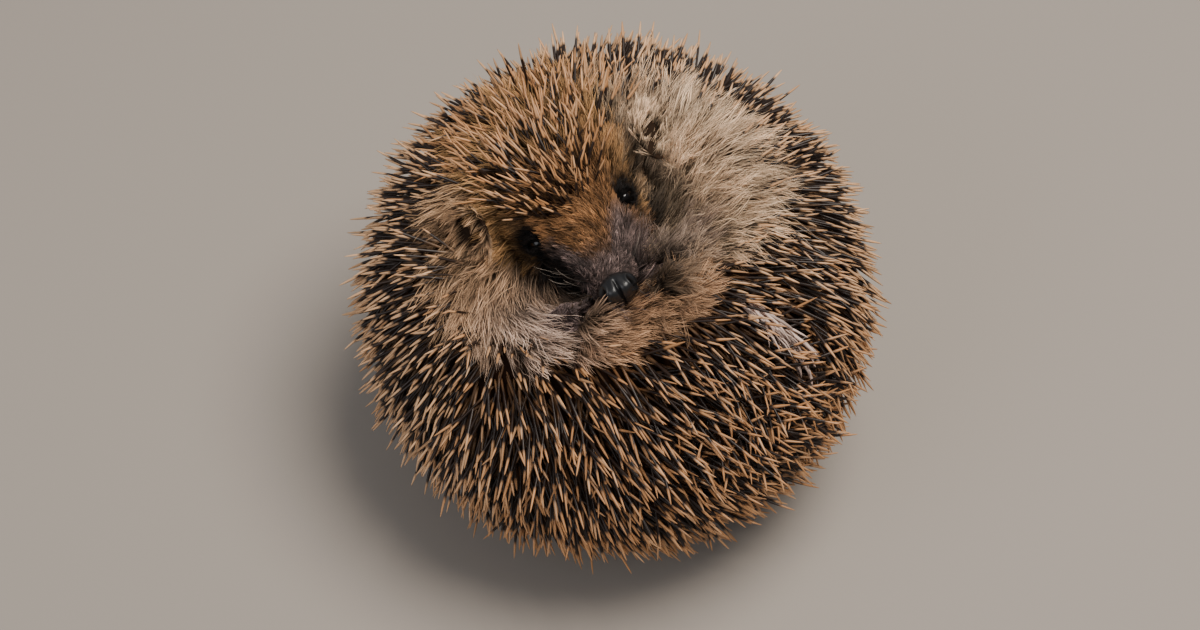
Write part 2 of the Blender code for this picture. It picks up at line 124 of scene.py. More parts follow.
def body_form():
    """The bare ball with its hollow, in rings from the middle of the face to that of the back."""
    depth, floor_share, widen = 0.0215, 0.25, 0.0045
    turns = circle(BODY_SIDES)
    reach_x = (HOLLOW_SIDE + widen) * np.cos(turns)
    reach_y = np.where(np.sin(turns) > 0, HOLLOW_CROWN + widen, HOLLOW_CHIN + widen) * np.sin(turns)
    rim = np.stack([HOLLOW_MIDDLE[0] + reach_x, HOLLOW_MIDDLE[1] + reach_y], axis=1)
    middle = np.array(HOLLOW_MIDDLE)
    edge = BODY_RADIUS * np.stack([np.cos(turns), np.sin(turns)], axis=1)
    flats = [middle + (rim - middle) * share for share in np.linspace(0.1, 1.0, 16)]
    flats += [rim + (edge - rim) * math.sin(out * math.pi / 2) for out in np.linspace(0, 1, 14)[1:]]
    rings = []
    for flat in flats:
        height = np.sqrt(np.clip(1 - (flat**2).sum(axis=1) / BODY_RADIUS**2, 0, 1))
        bearing = np.degrees(np.arctan2(flat[:, 1] - middle[1], flat[:, 0] - middle[0]))
        share = hollow_share(flat[:, 0], flat[:, 1], widen) / np.interp(bearing, *np.transpose(WALLS))
        climb = (share - floor_share) / (1 - floor_share)
        sink = depth * 0.5 * (1 + np.cos(math.pi * np.clip(climb, 0, 1)))
        rings.append(np.column_stack([flat, BODY_HALF_DEPTH * height - sink]))
    for back in np.linspace(0, math.pi / 2, 18)[1:-1]:
        depth_here = np.full((BODY_SIDES, 1), -BODY_HALF_DEPTH * math.sin(back))
        rings.append(np.hstack([edge * math.cos(back), depth_here]))
    return loft(rings, rings[0].mean(axis=0), (0, 0, -BODY_HALF_DEPTH))


# The head: a blunt wedge with full cheeks. Rows: distance back from the tip of the snout, half
# width, height above and below the line from snout to nape.
SNOUT_TIP = Vector((0.0012, -0.0010, 0.0535))
SNOUT_RISE = math.radians(44)
HEAD_TURN = Matrix.Rotation(-SNOUT_RISE, 3, "X")
HEAD_ROWS = (
    (0.0030, 0.0046, 0.0038, 0.0042),
    (0.0080, 0.0066, 0.0054, 0.0062),
    (0.0150, 0.0088, 0.0078, 0.0086),
    (0.0225, 0.0115, 0.0106, 0.0114),
    (0.0300, 0.0152, 0.0134, 0.0140),
    (0.0390, 0.0202, 0.0160, 0.0164),
    (0.0490, 0.0230, 0.0178, 0.0182),
    (0.0590, 0.0232, 0.0186, 0.0190),
    (0.0680, 0.0208, 0.0176, 0.0180),
)
HEAD_FULLNESS = 2.2  # 2 is an oval, and more is squarer
HEAD_SIDES = 48
EYE_RADIUS = 0.0028
EYE_PLACE = (0.0127, 0.0290, 0.0042)
EAR_PLACE = (0.0252, 0.0380, 0.0110)
EAR_FLARE = math.radians(52)  # how far the cups face out to the sides


def to_head(curl_points):
    """Points of the curl frame in the head's frame: X left, Y back from the snout, Z to the crown."""
    return (curl_points - np.array(SNOUT_TIP)) @ np.array(HEAD_TURN)


def from_head(head_points):
    return np.asarray(head_points) @ np.array(HEAD_TURN).T + np.array(SNOUT_TIP)


def smooth_rows(rows, count):
    """Rows of sizes evened out to count rows by a smooth curve through the given ones."""
    rows = np.array(rows)
    padded = np.vstack([2 * rows[0] - rows[1], rows, 2 * rows[-1] - rows[-2]])
    places = np.linspace(0, len(rows) - 1, count)
    index = np.minimum(places.astype(int), len(rows) - 2)
    share = (places - index)[:, None]
    a, b, c, d = (padded[index + shift] for shift in range(4))
    curve = b + 0.5 * share * (c - a) + share**2 * (a - 2.5 * b + 2 * c - 0.5 * d)
    return curve + share**3 * (1.5 * b - 0.5 * a - 1.5 * c + 0.5 * d)


def head_size(back):
    """Half width and the heights above and below, at distances back from the snout."""
    rows = np.array(HEAD_ROWS)
    return [np.interp(back, rows[:, 0], rows[:, column]) for column in (1, 2, 3)]


def head_form():
    turns = circle(HEAD_SIDES)
    across = np.sign(np.cos(turns)) * abs(np.cos(turns)) ** (2 / HEAD_FULLNESS)
    up = np.sign(np.sin(turns)) * abs(np.sin(turns)) ** (2 / HEAD_FULLNESS)
    rings = []
    for back, width, above, below in smooth_rows(HEAD_ROWS, 34):
        tall = up * np.where(up > 0, above, below)
        rings.append(from_head(np.column_stack([across * width, np.full(HEAD_SIDES, back), tall])))
    tips = from_head([(0, 0.0016, 0), (0, HEAD_ROWS[-1][0] + 0.004, 0)])
    return loft(rings, *tips)


def ball_form(sizes, middle, turn=None, sides=28, rings=16, cup=0.0):
    """An egg-shaped swelling, or a disc dished by cup, with its middle and turn in the curl frame."""
    turns = circle(sides)
    flat = np.column_stack([np.cos(turns), np.sin(turns)])
    shells = []
    for lean in np.linspace(0, math.pi, rings)[1:-1]:
        shells.append(np.hstack([flat * math.sin(lean), np.full((sides, 1), math.cos(lean))]))
    turn = np.eye(3) if turn is None else np.array(turn)

    def place(points):
        points = np.asarray(points, dtype=float)
        dish = np.column_stack([np.zeros((len(points), 2)), cup * (points[:, :2] ** 2).sum(axis=1)])
        return (points * sizes + dish) @ turn.T + np.array(middle)

    return loft([place(shell) for shell in shells], *place([(0, 0, 1), (0, 0, -1)]))


def limb_form(path, radii, flatten=1.0, rings=22, sides=18):
    """A tapering limb along a smooth path, with round ends."""
    rows = smooth_rows([(*point, radius) for point, radius in zip(path, radii)], rings)
    turns = circle(sides)
    bands = []
    ways = np.gradient(rows[:, :3], axis=0)
    ways /= np.linalg.norm(ways, axis=1)[:, None]
    for index, (row, way) in enumerate(zip(rows, ways)):
        across = np.array([1.0, 0, 0]) - way * way[0]
        across /= np.linalg.norm(across)
        flat = 1 + (flatten - 1) * index / (rings - 1)
        ring = np.outer(np.cos(turns), across) + np.outer(np.sin(turns), np.cross(way, across)) * flat
        bands.append((row[:3] + ring * row[3], ring, row, way))
    capped = [band[0] for band in bands]
    for (_, ring, row, way), sign in ((bands[0], -1), (bands[-1], 1)):
        shoulder = row[:3] + ring * row[3] * 0.72 + way * sign * row[3] * 0.62
        capped.insert(0 if sign < 0 else len(capped), shoulder)
    start = rows[0, :3] - ways[0] * rows[0, 3] * 0.95
    end = rows[-1, :3] + ways[-1] * rows[-1, 3] * 0.95
    return loft(capped, start, end)


# The legs are folded into the hollow beside the chin, with the short tail between the hind feet.
FORELEG_PATH = (
    (0.0210, 0.0120, 0.0120), (0.0255, 0.0040, 0.0240), (0.0235, 0.0010, 0.0360),
    (0.0156, 0.0018, 0.0432),
)
FORELEG_RADII = (0.0058, 0.0050, 0.0041, 0.0036)
HINDLEG_PATH = ((0.0210, -0.0190, 0.0170), (0.0150, -0.0130, 0.0310), (0.0115, -0.0050, 0.0470))
HINDLEG_RADII = (0.0072, 0.0052, 0.0036)
TAIL_PATH = ((0.0015, -0.0210, 0.0300), (0.0015, -0.0120, 0.0350), (0.0015, -0.0050, 0.0450))
TAIL_RADII = (0.0036, 0.0024, 0.0011)
TOE_SPREADS = (-0.80, -0.28, 0.28, 0.80)
TOE_SIZE = (0.0012, 0.0027, 0.0011)


def mirrored(path, side):
    return [(SNOUT_TIP.x + side * (x - SNOUT_TIP.x), y, z) for x, y, z in path]


def toe_frames(path, radius):
    """Middle, across and forward directions of each toe at the end of a paw, in the curl frame."""
    end = Vector(path[-1])
    ahead = (end - Vector(path[-2])).normalized()
    across = (Vector((1, 0, 0)) - ahead * ahead.x).normalized()
    for spread in TOE_SPREADS:
        way = (ahead + across * spread * 0.4).normalized()
        sideways = (across - way * across.dot(way)).normalized()
        middle = end + across * spread * radius * 1.1 + ahead * radius * (1.15 - 0.4 * abs(spread))
        yield middle, sideways, way


LIMBS = []
for side in (1, -1):
    LIMBS.append((mirrored(FORELEG_PATH, side), FORELEG_RADII))
    LIMBS.append((mirrored(HINDLEG_PATH, side), HINDLEG_RADII))

forms = [body_form(), head_form(), limb_form(TAIL_PATH, TAIL_RADII)]
toes = []
for path, radii in LIMBS:
    forms.append(limb_form(path, radii, flatten=0.8))
    for middle, sideways, way in toe_frames(path, radii[-1]):
        turn = Matrix((sideways, way, sideways.cross(way))).transposed()
        forms.append(ball_form(TOE_SIZE, middle, turn, sides=14, rings=10))
        toes.append((middle, sideways, way))
LID_THICKNESS = 0.0008
WHISKER_PAD = (0.0036, 0.0052, 0.0034), (0.0036, 0.0086, -0.0016)  # its size and its middle
CHEEK = (0.0070, 0.0110, 0.0080), (0.0120, 0.0330, -0.0070)
EAR_SIZE, EAR_CUP = (0.0058, 0.0074, 0.0011), 0.0030


def on_side(place, side):
    """A place in the head's frame on the animal's left (side 1) or its right (side -1)."""
    return np.array((side * place[0], *place[1:]))


for side in (1, -1):
    # An eyeball's bulge under its lids, a whisker pad, a cheek, and the thin cup of an ear.
    eye_middle, ear_middle = from_head([on_side(EYE_PLACE, side), on_side(EAR_PLACE, side)])
    forms.append(ball_form((EYE_RADIUS + LID_THICKNESS,) * 3, eye_middle))
    for size, place in (WHISKER_PAD, CHEEK):
        forms.append(ball_form(size, from_head([on_side(place, side)])[0], HEAD_TURN))
    ear_turn = Matrix.Rotation(side * EAR_FLARE, 3, "Y")
    forms.append(ball_form(EAR_SIZE, ear_middle, ear_turn, cup=EAR_CUP))


def made_of(mesh, name):
    obj = bpy.data.objects.new(name, mesh)
    bpy.context.scene.collection.objects.link(obj)
    return obj


def solid(name, vertices, faces):
    """A smooth-shaded object made of points in the curl frame."""
    mesh = bpy.data.meshes.new(name)
    mesh.from_pydata([tuple(point) for point in from_curl(vertices)], [], faces)
    mesh.shade_smooth()
    return made_of(mesh, name)


def applied(obj):
    """The object's mesh with its modifiers applied, in place."""
    graph = bpy.context.evaluated_depsgraph_get()
    mesh = bpy.data.meshes.new_from_object(obj.evaluated_get(graph))
    obj.modifiers.clear()
    obj.data = mesh
    return mesh


# One skin over all of it: the forms are fused, smoothed, and cut finer on the face.
SKIN_GRAIN = 0.0009
starts = np.cumsum([0] + [len(vertices) for vertices, _ in forms])
faces = [tuple(start + index for index in face) for start, form in zip(starts, forms) for face in form[1]]
skin = solid("skin", np.vstack([vertices for vertices, _ in forms]), faces)
fuse = skin.modifiers.new("fuse", "REMESH")
fuse.mode = "VOXEL"
fuse.voxel_size = SKIN_GRAIN
soften = skin.modifiers.new("soften", "SMOOTH")
soften.factor = 0.6
soften.iterations = 5
applied(skin)


def coordinates(mesh, kind="vertices", field="co"):
    items = getattr(mesh, kind)
    values = np.empty(len(items) * 3, dtype=np.float32)
    items.foreach_get(field, values)
    return values.reshape(-1, 3).astype(np.float64)


FACE_START, FACE_END, FACE_MARGIN = -0.002, 0.034, 0.003  # of the finer skin
detail = bmesh.new()
detail.from_mesh(skin.data)
head_points = to_head(to_curl(coordinates(skin.data)))
width, above, below = head_size(head_points[:, 1])
fine = (
    (head_points[:, 1] > FACE_START)
    & (head_points[:, 1] < FACE_END)
    & (abs(head_points[:, 0]) < width + FACE_MARGIN)
    & (head_points[:, 2] < above + FACE_MARGIN)
    & (head_points[:, 2] > -below - FACE_MARGIN)
)
for vert in detail.verts:
    vert.tag = bool(fine[vert.index])
face_edges = [edge for edge in detail.edges if edge.verts[0].tag and edge.verts[1].tag]
bmesh.ops.subdivide_edges(detail, edges=face_edges, cuts=1, use_grid_fill=True)
bmesh.ops.triangulate(detail, faces=[face for face in detail.faces if len(face.verts) > 4])
detail.to_mesh(skin.data)
detail.free()

# The lids and the mouth are pressed into the skin, in the head's frame.
shape = to_head(to_curl(coordinates(skin.data)))
EYE_FACING = np.array((0.72, -0.44, 0.54))
LID_AXIS = np.array((0.67, 0.64, -0.37))  # along the slit, from the inner corner back and out
LID_HALF_LENGTH, LID_HALF_OPEN = 0.80, 0.17  # of the eye's radius
LID_LIFT, LID_SINK, LID_EDGE = 0.00055, 0.0016, 0.00035  # off the eye, into the slit, and its rim
MOUTH_DROP, MOUTH_SLOPE, MOUTH_WIDTH, MOUTH_DEPTH = 0.0034, 0.16, 0.0006, 0.0009


def eye_slit(head_points, side):
    """For points near an eye: the way and distance from its middle, how far the way is to the
    front, and how far it is from the middle of the slit (1 at the lids' edge)."""
    facing = EYE_FACING / np.linalg.norm(EYE_FACING) * (side, 1, 1)
    along = LID_AXIS * (side, 1, 1)
    along -= facing * along.dot(facing)
    along /= np.linalg.norm(along)
    offset = head_points - on_side(EYE_PLACE, side)
    distance = np.linalg.norm(offset, axis=1)
    way = offset / distance[:, None]
    across = way @ np.cross(facing, along) / LID_HALF_OPEN
    return way, distance, way @ facing, np.hypot(way @ along / LID_HALF_LENGTH, across)


for side in (1, -1):
    way, distance, front, slit = eye_slit(shape, side)
    at_eye = (front > 0.2) & (distance < EYE_RADIUS + 0.0032)
    lid_radius = EYE_RADIUS + LID_LIFT - LID_SINK * smooth_step(1.12, 0.86, slit)
    lid_radius = lid_radius + LID_EDGE * np.exp(-(((slit - 1.35) / 0.3) ** 2))
    weight = at_eye * smooth_step(0.2, 0.55, front)
    shape = shape + way * ((lid_radius - distance) * weight)[:, None]
crease = np.exp(-((shape[:, 2] + MOUTH_DROP + MOUTH_SLOPE * shape[:, 1]) / MOUTH_WIDTH) ** 2)
crease = crease * smooth_step(0.003, 0.006, shape[:, 1]) * smooth_step(0.026, 0.020, shape[:, 1])
inward = shape * (1, 0, 1)
inward = inward / np.maximum(np.linalg.norm(inward, axis=1), 1e-6)[:, None]
shape = shape - inward * (crease * MOUTH_DEPTH)[:, None]
skin.data.vertices.foreach_set("co", from_curl(from_head(shape)).astype(np.float32).ravel())
skin.data.update()
skin.data.shade_smooth()

skin_nodes = ("head", "lower_jaw", "neck", "trunk", "rump", "tail", "ear_left", "ear_right")
skin_nodes += ("foreleg_left", "foreleg_right", "hindleg_left", "hindleg_right")


def principled(name, colour, roughness, shine=0.5):
    """A material with its shader and node tree, plain until its section dresses it."""
    material = bpy.data.materials.new(name)
    material.use_nodes = True
    shader = material.node_tree.nodes["Principled BSDF"]
    shader.inputs["Base Color"].default_value = (*colour, 1)
    shader.inputs["Roughness"].default_value = roughness
    shader.inputs["Specular IOR Level"].default_value = shine
    return material, shader, material.node_tree


def node(tree, kind, sockets, **settings):
    """A node with its settings. Each socket is given a number or a colour, or linked to another."""
    made = tree.nodes.new(kind)
    for key, value in settings.items():
        setattr(made, key, value)
    for key, value in sockets.items():
        if hasattr(value, "links"):
            tree.links.new(value, made.inputs[key])
        elif isinstance(value, (int, float)):
            made.inputs[key].default_value = value
        else:
            made.inputs[key].default_value = (*value, 1)
    return made


def attribute(tree, name, output="Fac"):
    return node(tree, "ShaderNodeAttribute", {}, attribute_name=name).outputs[output]


def object_place(tree):
    return node(tree, "ShaderNodeTexCoord", {}).outputs["Object"]


def roughen(tree, shader, height, strength, distance):
    """Bumps in the shader's surface, as high as the height socket says."""
    sockets = {"Height": height, "Strength": strength, "Distance": distance}
    tree.links.new(node(tree, "ShaderNodeBump", sockets).outputs["Normal"], shader.inputs["Normal"])


skin_material, shader, tree = principled("skin", (0.05, 0.035, 0.028), 0.75, shine=0.08)
folds = node(tree, "ShaderNodeTexNoise", {"Vector": object_place(tree), "Scale": 900, "Detail": 5})
folds = folds.outputs["Fac"]
mottle = node(tree, "ShaderNodeMapRange", {"Value": folds, "To Min": 0.6, "To Max": 1.5})
sockets = {0: attribute(tree, "tint", "Color"), "Scale": mottle.outputs["Result"]}
mottled = node(tree, "ShaderNodeVectorMath", sockets, operation="SCALE")
tree.links.new(mottled.outputs["Vector"], shader.inputs["Base Color"])
roughen(tree, shader, folds, 0.5, 0.0003)
skin.data.materials.append(skin_material)
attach(skin, "root")
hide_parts(*skin_nodes)


# ---- Colour of the coat -----------------------------------------------------------------------
# The same markings colour the skin and the hair on it: a dark face with a grey-mauve muzzle,
# beige fur round it that is palest to the animal's left, and dark skin between the spines.
# Painted shade darkens them in the hollow's depth, in the gaps beside the nose and the left
# cheek, and round the right eye and beside the muzzle on the animal's right.

def sun(red, green, blue):
    """A colour seen as 0 to 255 values, as linear light."""
    values = np.array((red, green, blue)) / 255
    return np.where(values <= 0.04045, values / 12.92, ((values + 0.055) / 1.055) ** 2.4)


def near(points, place, spread):
    """1 at a place, fading to 0 a spread away."""
    return np.exp(-((points - np.array(place)) ** 2).sum(axis=1) / spread**2)


def blend(colour, other, share):
    """Colours turned to another one, by a share for each point."""
    return colour + (other - colour) * share[:, None]


def to_view(curl_points):
    """Curl points in a frame with X across and Y up the front of the ball, Z out of the face."""
    return curl_points @ np.array(Matrix.Rotation(BODY_ROLL, 3, "Z")).T


def on_head(curl_points, beyond=0.002):
    """Whether points are on the head, within a margin round it."""
    head = to_head(curl_points)
    width, above, below = head_size(head[:, 1])
    height = np.where(head[:, 2] > 0, above, below)
    fullness = (abs(head[:, 0]) / (width + beyond)) ** HEAD_FULLNESS
    fullness = fullness + (abs(head[:, 2]) / (height + beyond)) ** HEAD_FULLNESS
    return (fullness < 1) & (head[:, 1] > -0.004) & (head[:, 1] < HEAD_ROWS[-1][0])


def limb_nearness(curl_points, limbs):
    """1 on the limbs, 0 away from them."""
    found = np.zeros(len(curl_points))
    for path, radii in limbs:
        rows = smooth_rows([(*point, radius) for point, radius in zip(path, radii)], 16)
        for *point, radius in rows:
            apart = np.linalg.norm(curl_points - np.array(point), axis=1)
            found = np.maximum(found, smooth_step(radius + 0.0028, radius + 0.0012, apart))
        end = rows[-1, :3] + (rows[-1, :3] - rows[-2, :3]) * 1.6
        apart = np.linalg.norm(curl_points - end, axis=1)
        found = np.maximum(found, smooth_step(0.0075, 0.0055, apart))
    return found


SHOWN_PAW = LIMBS[2:3]  # the animal's right forepaw, the one that the fur leaves bare
LEGS_AND_TAIL = LIMBS + [(TAIL_PATH, TAIL_RADII)]
HAIR_MARGIN = 0.003  # how far off the head's form its hair is still the face's
MUZZLE = sun(116, 98, 93)
BRIDGE = sun(154, 110, 71)
TEMPLE = sun(190, 147, 99)
LEFT_RUFF = sun(250, 217, 182)
RIGHT_RUFF = sun(204, 164, 126)
LIP_FUR = sun(190, 146, 110)
CHIN_SIDE_FUR = sun(240, 212, 194)
PAW = sun(142, 122, 118)
LIMB_FUR = sun(178, 154, 136)
DARK_FUR_AND_SHADOW = sun(20, 13, 10)
EAR_SKIN = sun(52, 38, 28)
# Dark fur round both eyes. On the animal's right the eye's patch is also painted shadow under the brow,
# and the third patch, beside the muzzle, is painted shadow only.
FACE_DARKS_AND_SHADOWS = (  # dark fur, deepened by painted shadow on the right: the middle of a patch in the head's frame, its dark part and its edge
    (on_side(EYE_PLACE, 1), 0.0038, 0.0064),
    (on_side(EYE_PLACE, -1), 0.0044, 0.0074),
    ((-0.0125, 0.0190, -0.0030), 0.0070, 0.0125),
)
CREASE_SHADOWS = (  # painted shadow in the crease between the left cheek and its ruff: places in the view and spreads
    ((0.0090, 0.0215), 0.0045),
    ((0.0120, 0.0145), 0.0055),
)
# Painted shadow in the dark gap between the muzzle and the fur beside the nose, and pale grey fur low on
# the animal's right: places in the view and spreads.
NOSE_GAP_SHADOW, CHIN_GREY = ((0.0095, 0.0050), 0.0055), ((-0.024, -0.007), 0.012)


def ear_distance(head_points):
    """How far points are from the middle of the nearer ear."""
    mirrored_points = abs(head_points[:, :1]) * (1, 0, 0) + head_points * (0, 1, 1)
    return np.linalg.norm(mirrored_points - EAR_PLACE, axis=1)


def at_lip(curl_points, start):
    """1 on the lower wall of the hollow, under the chin, from start down."""
    x, y, _ = curl_points.T
    return smooth_step(start, -0.006, y) * smooth_step(-0.034, -0.012, x)


def fur_colour(curl_points):
    """The colour of the fur's tips at each place on the skin, with painted shade in its hollows and gaps.
    """
    view, head = to_view(curl_points), to_head(curl_points)
    # The ruffs, the lower lip of the hollow, and painted shade in the hollow's depth, where the legs lie.
    to_left = smooth_step(-0.012, 0.014, view[:, 0])
    colour = blend(RIGHT_RUFF, LEFT_RUFF, to_left)
    colour = blend(colour, LIP_FUR, 0.9 * at_lip(curl_points, 0.002))
    colour = blend(colour, CHIN_SIDE_FUR, near(view[:, :2], *CHIN_GREY))
    # Painted shade: the fur darkens towards the floor of the hollow.
    deep = smooth_step(0.55, 0.30, hollow_share(*curl_points.T[:2])) * (curl_points[:, 1] < 0.02)
    colour = colour * (1 - 0.75 * deep)[:, None]
    limbs = limb_nearness(curl_points, LEGS_AND_TAIL) * smooth_step(-0.004, 0.002, curl_points[:, 1])
    colour = blend(colour, LIMB_FUR, limbs)
    # Painted shadow in the gap beside the nose.
    colour = colour * (1 - 0.85 * near(view[:, :2], *NOSE_GAP_SHADOW))[:, None]
    colour = blend(colour, PAW, limb_nearness(curl_points, SHOWN_PAW))
    colour = blend(colour, EAR_SKIN, smooth_step(0.0050, 0.0034, ear_distance(head)))
    # The face, from its bridge out to the temples and the left cheek, and down to the muzzle.
    width, _, _ = head_size(head[:, 1])
    aside = abs(head[:, 0]) / width
    temple = smooth_step(0.009, 0.018, abs(head[:, 0])) * smooth_step(0.022, 0.030, head[:, 1])
    temple = np.maximum(temple, smooth_step(0.034, 0.046, head[:, 1]))
    face_colour = blend(BRIDGE, TEMPLE, temple)
    face_colour = blend(face_colour, 0.7 * LEFT_RUFF, smooth_step(0.0150, 0.0185, head[:, 0]))
    muzzle_end = 0.012 + 0.011 * smooth_step(0.35, 0.85, aside)
    muzzle = smooth_step(muzzle_end + 0.004, muzzle_end - 0.004, head[:, 1])
    face_colour = blend(face_colour, MUZZLE, muzzle)
    # Dark fur round the eyes, and painted shadow round the right eye and beside the muzzle on the right.
    for place, inner, outer in FACE_DARKS_AND_SHADOWS:
        shade = smooth_step(outer, inner, np.linalg.norm(head - place, axis=1))
        face_colour = blend(face_colour, DARK_FUR_AND_SHADOW, shade)
    found = np.where(on_head(curl_points, HAIR_MARGIN)[:, None], face_colour, colour)
    # Painted shadow along the crease between the left cheek and its ruff.
    gap = np.maximum(*(near(view[:, :2], *shade) for shade in CREASE_SHADOWS))
    return found * (1 - 0.6 * gap)[:, None]


SPINY_EDGE = (  # turn round the hollow in degrees, and where the spines start, in hollow shares
    (-180, 0.77), (-170, 0.76), (-160, 0.79), (-146, 0.88), (-114, 1.03), (-80, 1.05), (-61, 0.98),
    (-37, 0.76), (-20, 0.74), (0, 0.81), (10, 0.87), (35, 0.96), (60, 0.99), (90, 0.96), (110, 1.0),
    (125, 1.04), (136, 1.02), (147, 0.92), (158, 0.85), (170, 0.81), (180, 0.77),
)
BROW_LINE, BROW_BOW, BROW_MIDDLE = 0.0240, 50.0, -0.0010  # front edge of the crown's spines
CROWN_HALF_WIDTH = 0.026
EAR_CLEARANCE = 0.0092  # no spines grow nearer to an ear's middle


def spiny(curl_points, later=0.0):
    """1 where spines grow, 0 where only fur does. later moves their start out, in hollow shares."""
    x, y, z = curl_points.T
    turn = np.degrees(np.arctan2(y - HOLLOW_MIDDLE[1], x - HOLLOW_MIDDLE[0]))
    edge = np.interp(turn, *np.transpose(SPINY_EDGE))
    outside = smooth_step(edge - 0.03, edge + 0.08, hollow_share(x, y) - later) + (z < 0.012)
    head = to_head(curl_points)
    brow = BROW_LINE + BROW_BOW * (x - BROW_MIDDLE) ** 2
    crown = smooth_step(brow, brow + 0.002, y) * (head[:, 2] > 0.002)
    crown = crown * (abs(head[:, 0]) < CROWN_HALF_WIDTH)
    found = np.clip(np.maximum(outside, crown), 0, 1)
    found = found * (limb_nearness(curl_points, LEGS_AND_TAIL) < 0.05)
    return found * (found > 0.1) * (ear_distance(head) > EAR_CLEARANCE)


def mark(mesh, name, values):
    """Store a number or a colour for each vertex, for the materials to read."""
    if values.ndim == 1:
        layer = mesh.attributes.new(name, "FLOAT", "POINT")
        layer.data.foreach_set("value", values.astype(np.float32))
    else:
        layer = mesh.color_attributes.new(name, "FLOAT_COLOR", "POINT")
        opaque = np.column_stack([values, np.ones(len(values))])
        layer.data.foreach_set("color", opaque.astype(np.float32).ravel())


UNDER_SPINES = sun(36, 20, 10)
SKIN_SHADE, EAR_SHADE = 0.20, 0.6  # of the colour that the fur has there
skin_points = to_curl(coordinates(skin.data))
# The skin is a darker copy of the fur's colour there, its painted shade included.
skin_tint = blend(fur_colour(skin_points) * SKIN_SHADE, UNDER_SPINES, spiny(skin_points))
ear_here = smooth_step(0.0100, 0.0085, ear_distance(to_head(skin_points)))
mark(skin.data, "tint", blend(skin_tint, EAR_SKIN * EAR_SHADE, ear_here))


# ---- Laying of the coat -----------------------------------------------------------------------
# Roots are scattered over the skin, and every hair or spine is combed along the body by strokes
# laid over the front of the ball. Each is a thin closed taper of mesh.

rng = np.random.default_rng(11)
skin.data.calc_loop_triangles()
corners = np.empty(len(skin.data.loop_triangles) * 3, dtype=np.int32)
skin.data.loop_triangles.foreach_get("vertices", corners)
corners = corners.reshape(-1, 3)
skin_normals = coordinates(skin.data, "vertex_normals", "vector") @ CURL
edge_one = skin_points[corners[:, 1]] - skin_points[corners[:, 0]]
edge_two = skin_points[corners[:, 2]] - skin_points[corners[:, 0]]
areas = np.linalg.norm(np.cross(edge_one, edge_two), axis=1) / 2
centres = skin_points[corners].mean(axis=1)


def unit(vectors):
    return vectors / np.maximum(np.linalg.norm(vectors, axis=1), 1e-9)[:, None]


def scatter(density, most=None):
    """Random roots and outward ways, density of them for each square millimetre of skin."""
    wanted = areas * 1e6 * density
    total = int(min(wanted.sum(), most or 1e9))
    picks = rng.choice(len(areas), size=total, p=wanted / wanted.sum())
    shares = rng.dirichlet((1, 1, 1), total)
    points = (skin_points[corners[picks]] * shares[:, :, None]).sum(axis=1)
    normals = unit((skin_normals[corners[picks]] * shares[:, :, None]).sum(axis=1))
    return points, normals


def spaced(points, gap):
    """Which of the points to keep so that none is nearer than gap to one already kept."""
    cells = {}
    kept = []
    keys = np.floor(points / gap).astype(int)
    for index, (key, point) in enumerate(zip(map(tuple, keys), points)):
        around = (
            other
            for x in (-1, 0, 1)
            for y in (-1, 0, 1)
            for z in (-1, 0, 1)
            for other in cells.get((key[0] + x, key[1] + y, key[2] + z), ())
        )
        if all(((point - points[other]) ** 2).sum() > gap * gap for other in around):
            cells.setdefault(key, []).append(index)
            kept.append(index)
    return np.array(kept)


def combed(points, normals, strokes, spread, default, hold, lift):
    """Unit ways along the skin: strokes lie near their places, and the default way elsewhere.

    lift turns them out of the face, or round to the back where it is below 0.
    """
    view = to_view(points)
    total = default * hold
    for across, up, heading in strokes:
        turn = math.radians(heading)
        apart = (view[:, 0] - across) ** 2 + (view[:, 1] - up) ** 2
        weight = np.exp(-apart / spread**2) * smooth_step(-0.03, 0.02, view[:, 2])
        stroke = Vector((math.cos(turn), math.sin(turn), 0.0))
        stroke = np.array(Matrix.Rotation(-BODY_ROLL, 3, "Z") @ stroke)
        total = total + weight[:, None] * stroke
    total = total + np.outer(lift, (0, 0, 1))
    return unit(total - normals * (total * normals).sum(axis=1)[:, None])


def turned(way, towards, angle):
    """Ways turned by an angle towards others that are square to them."""
    return way * np.cos(angle)[:, None] + towards * np.sin(angle)[:, None]


PATCH = 0.003  # of the bake map, for each taper
FLOOR_GAP, PRESSED_LAYER = 0.0002, 0.002  # the coat under the ball lies flat on the floor


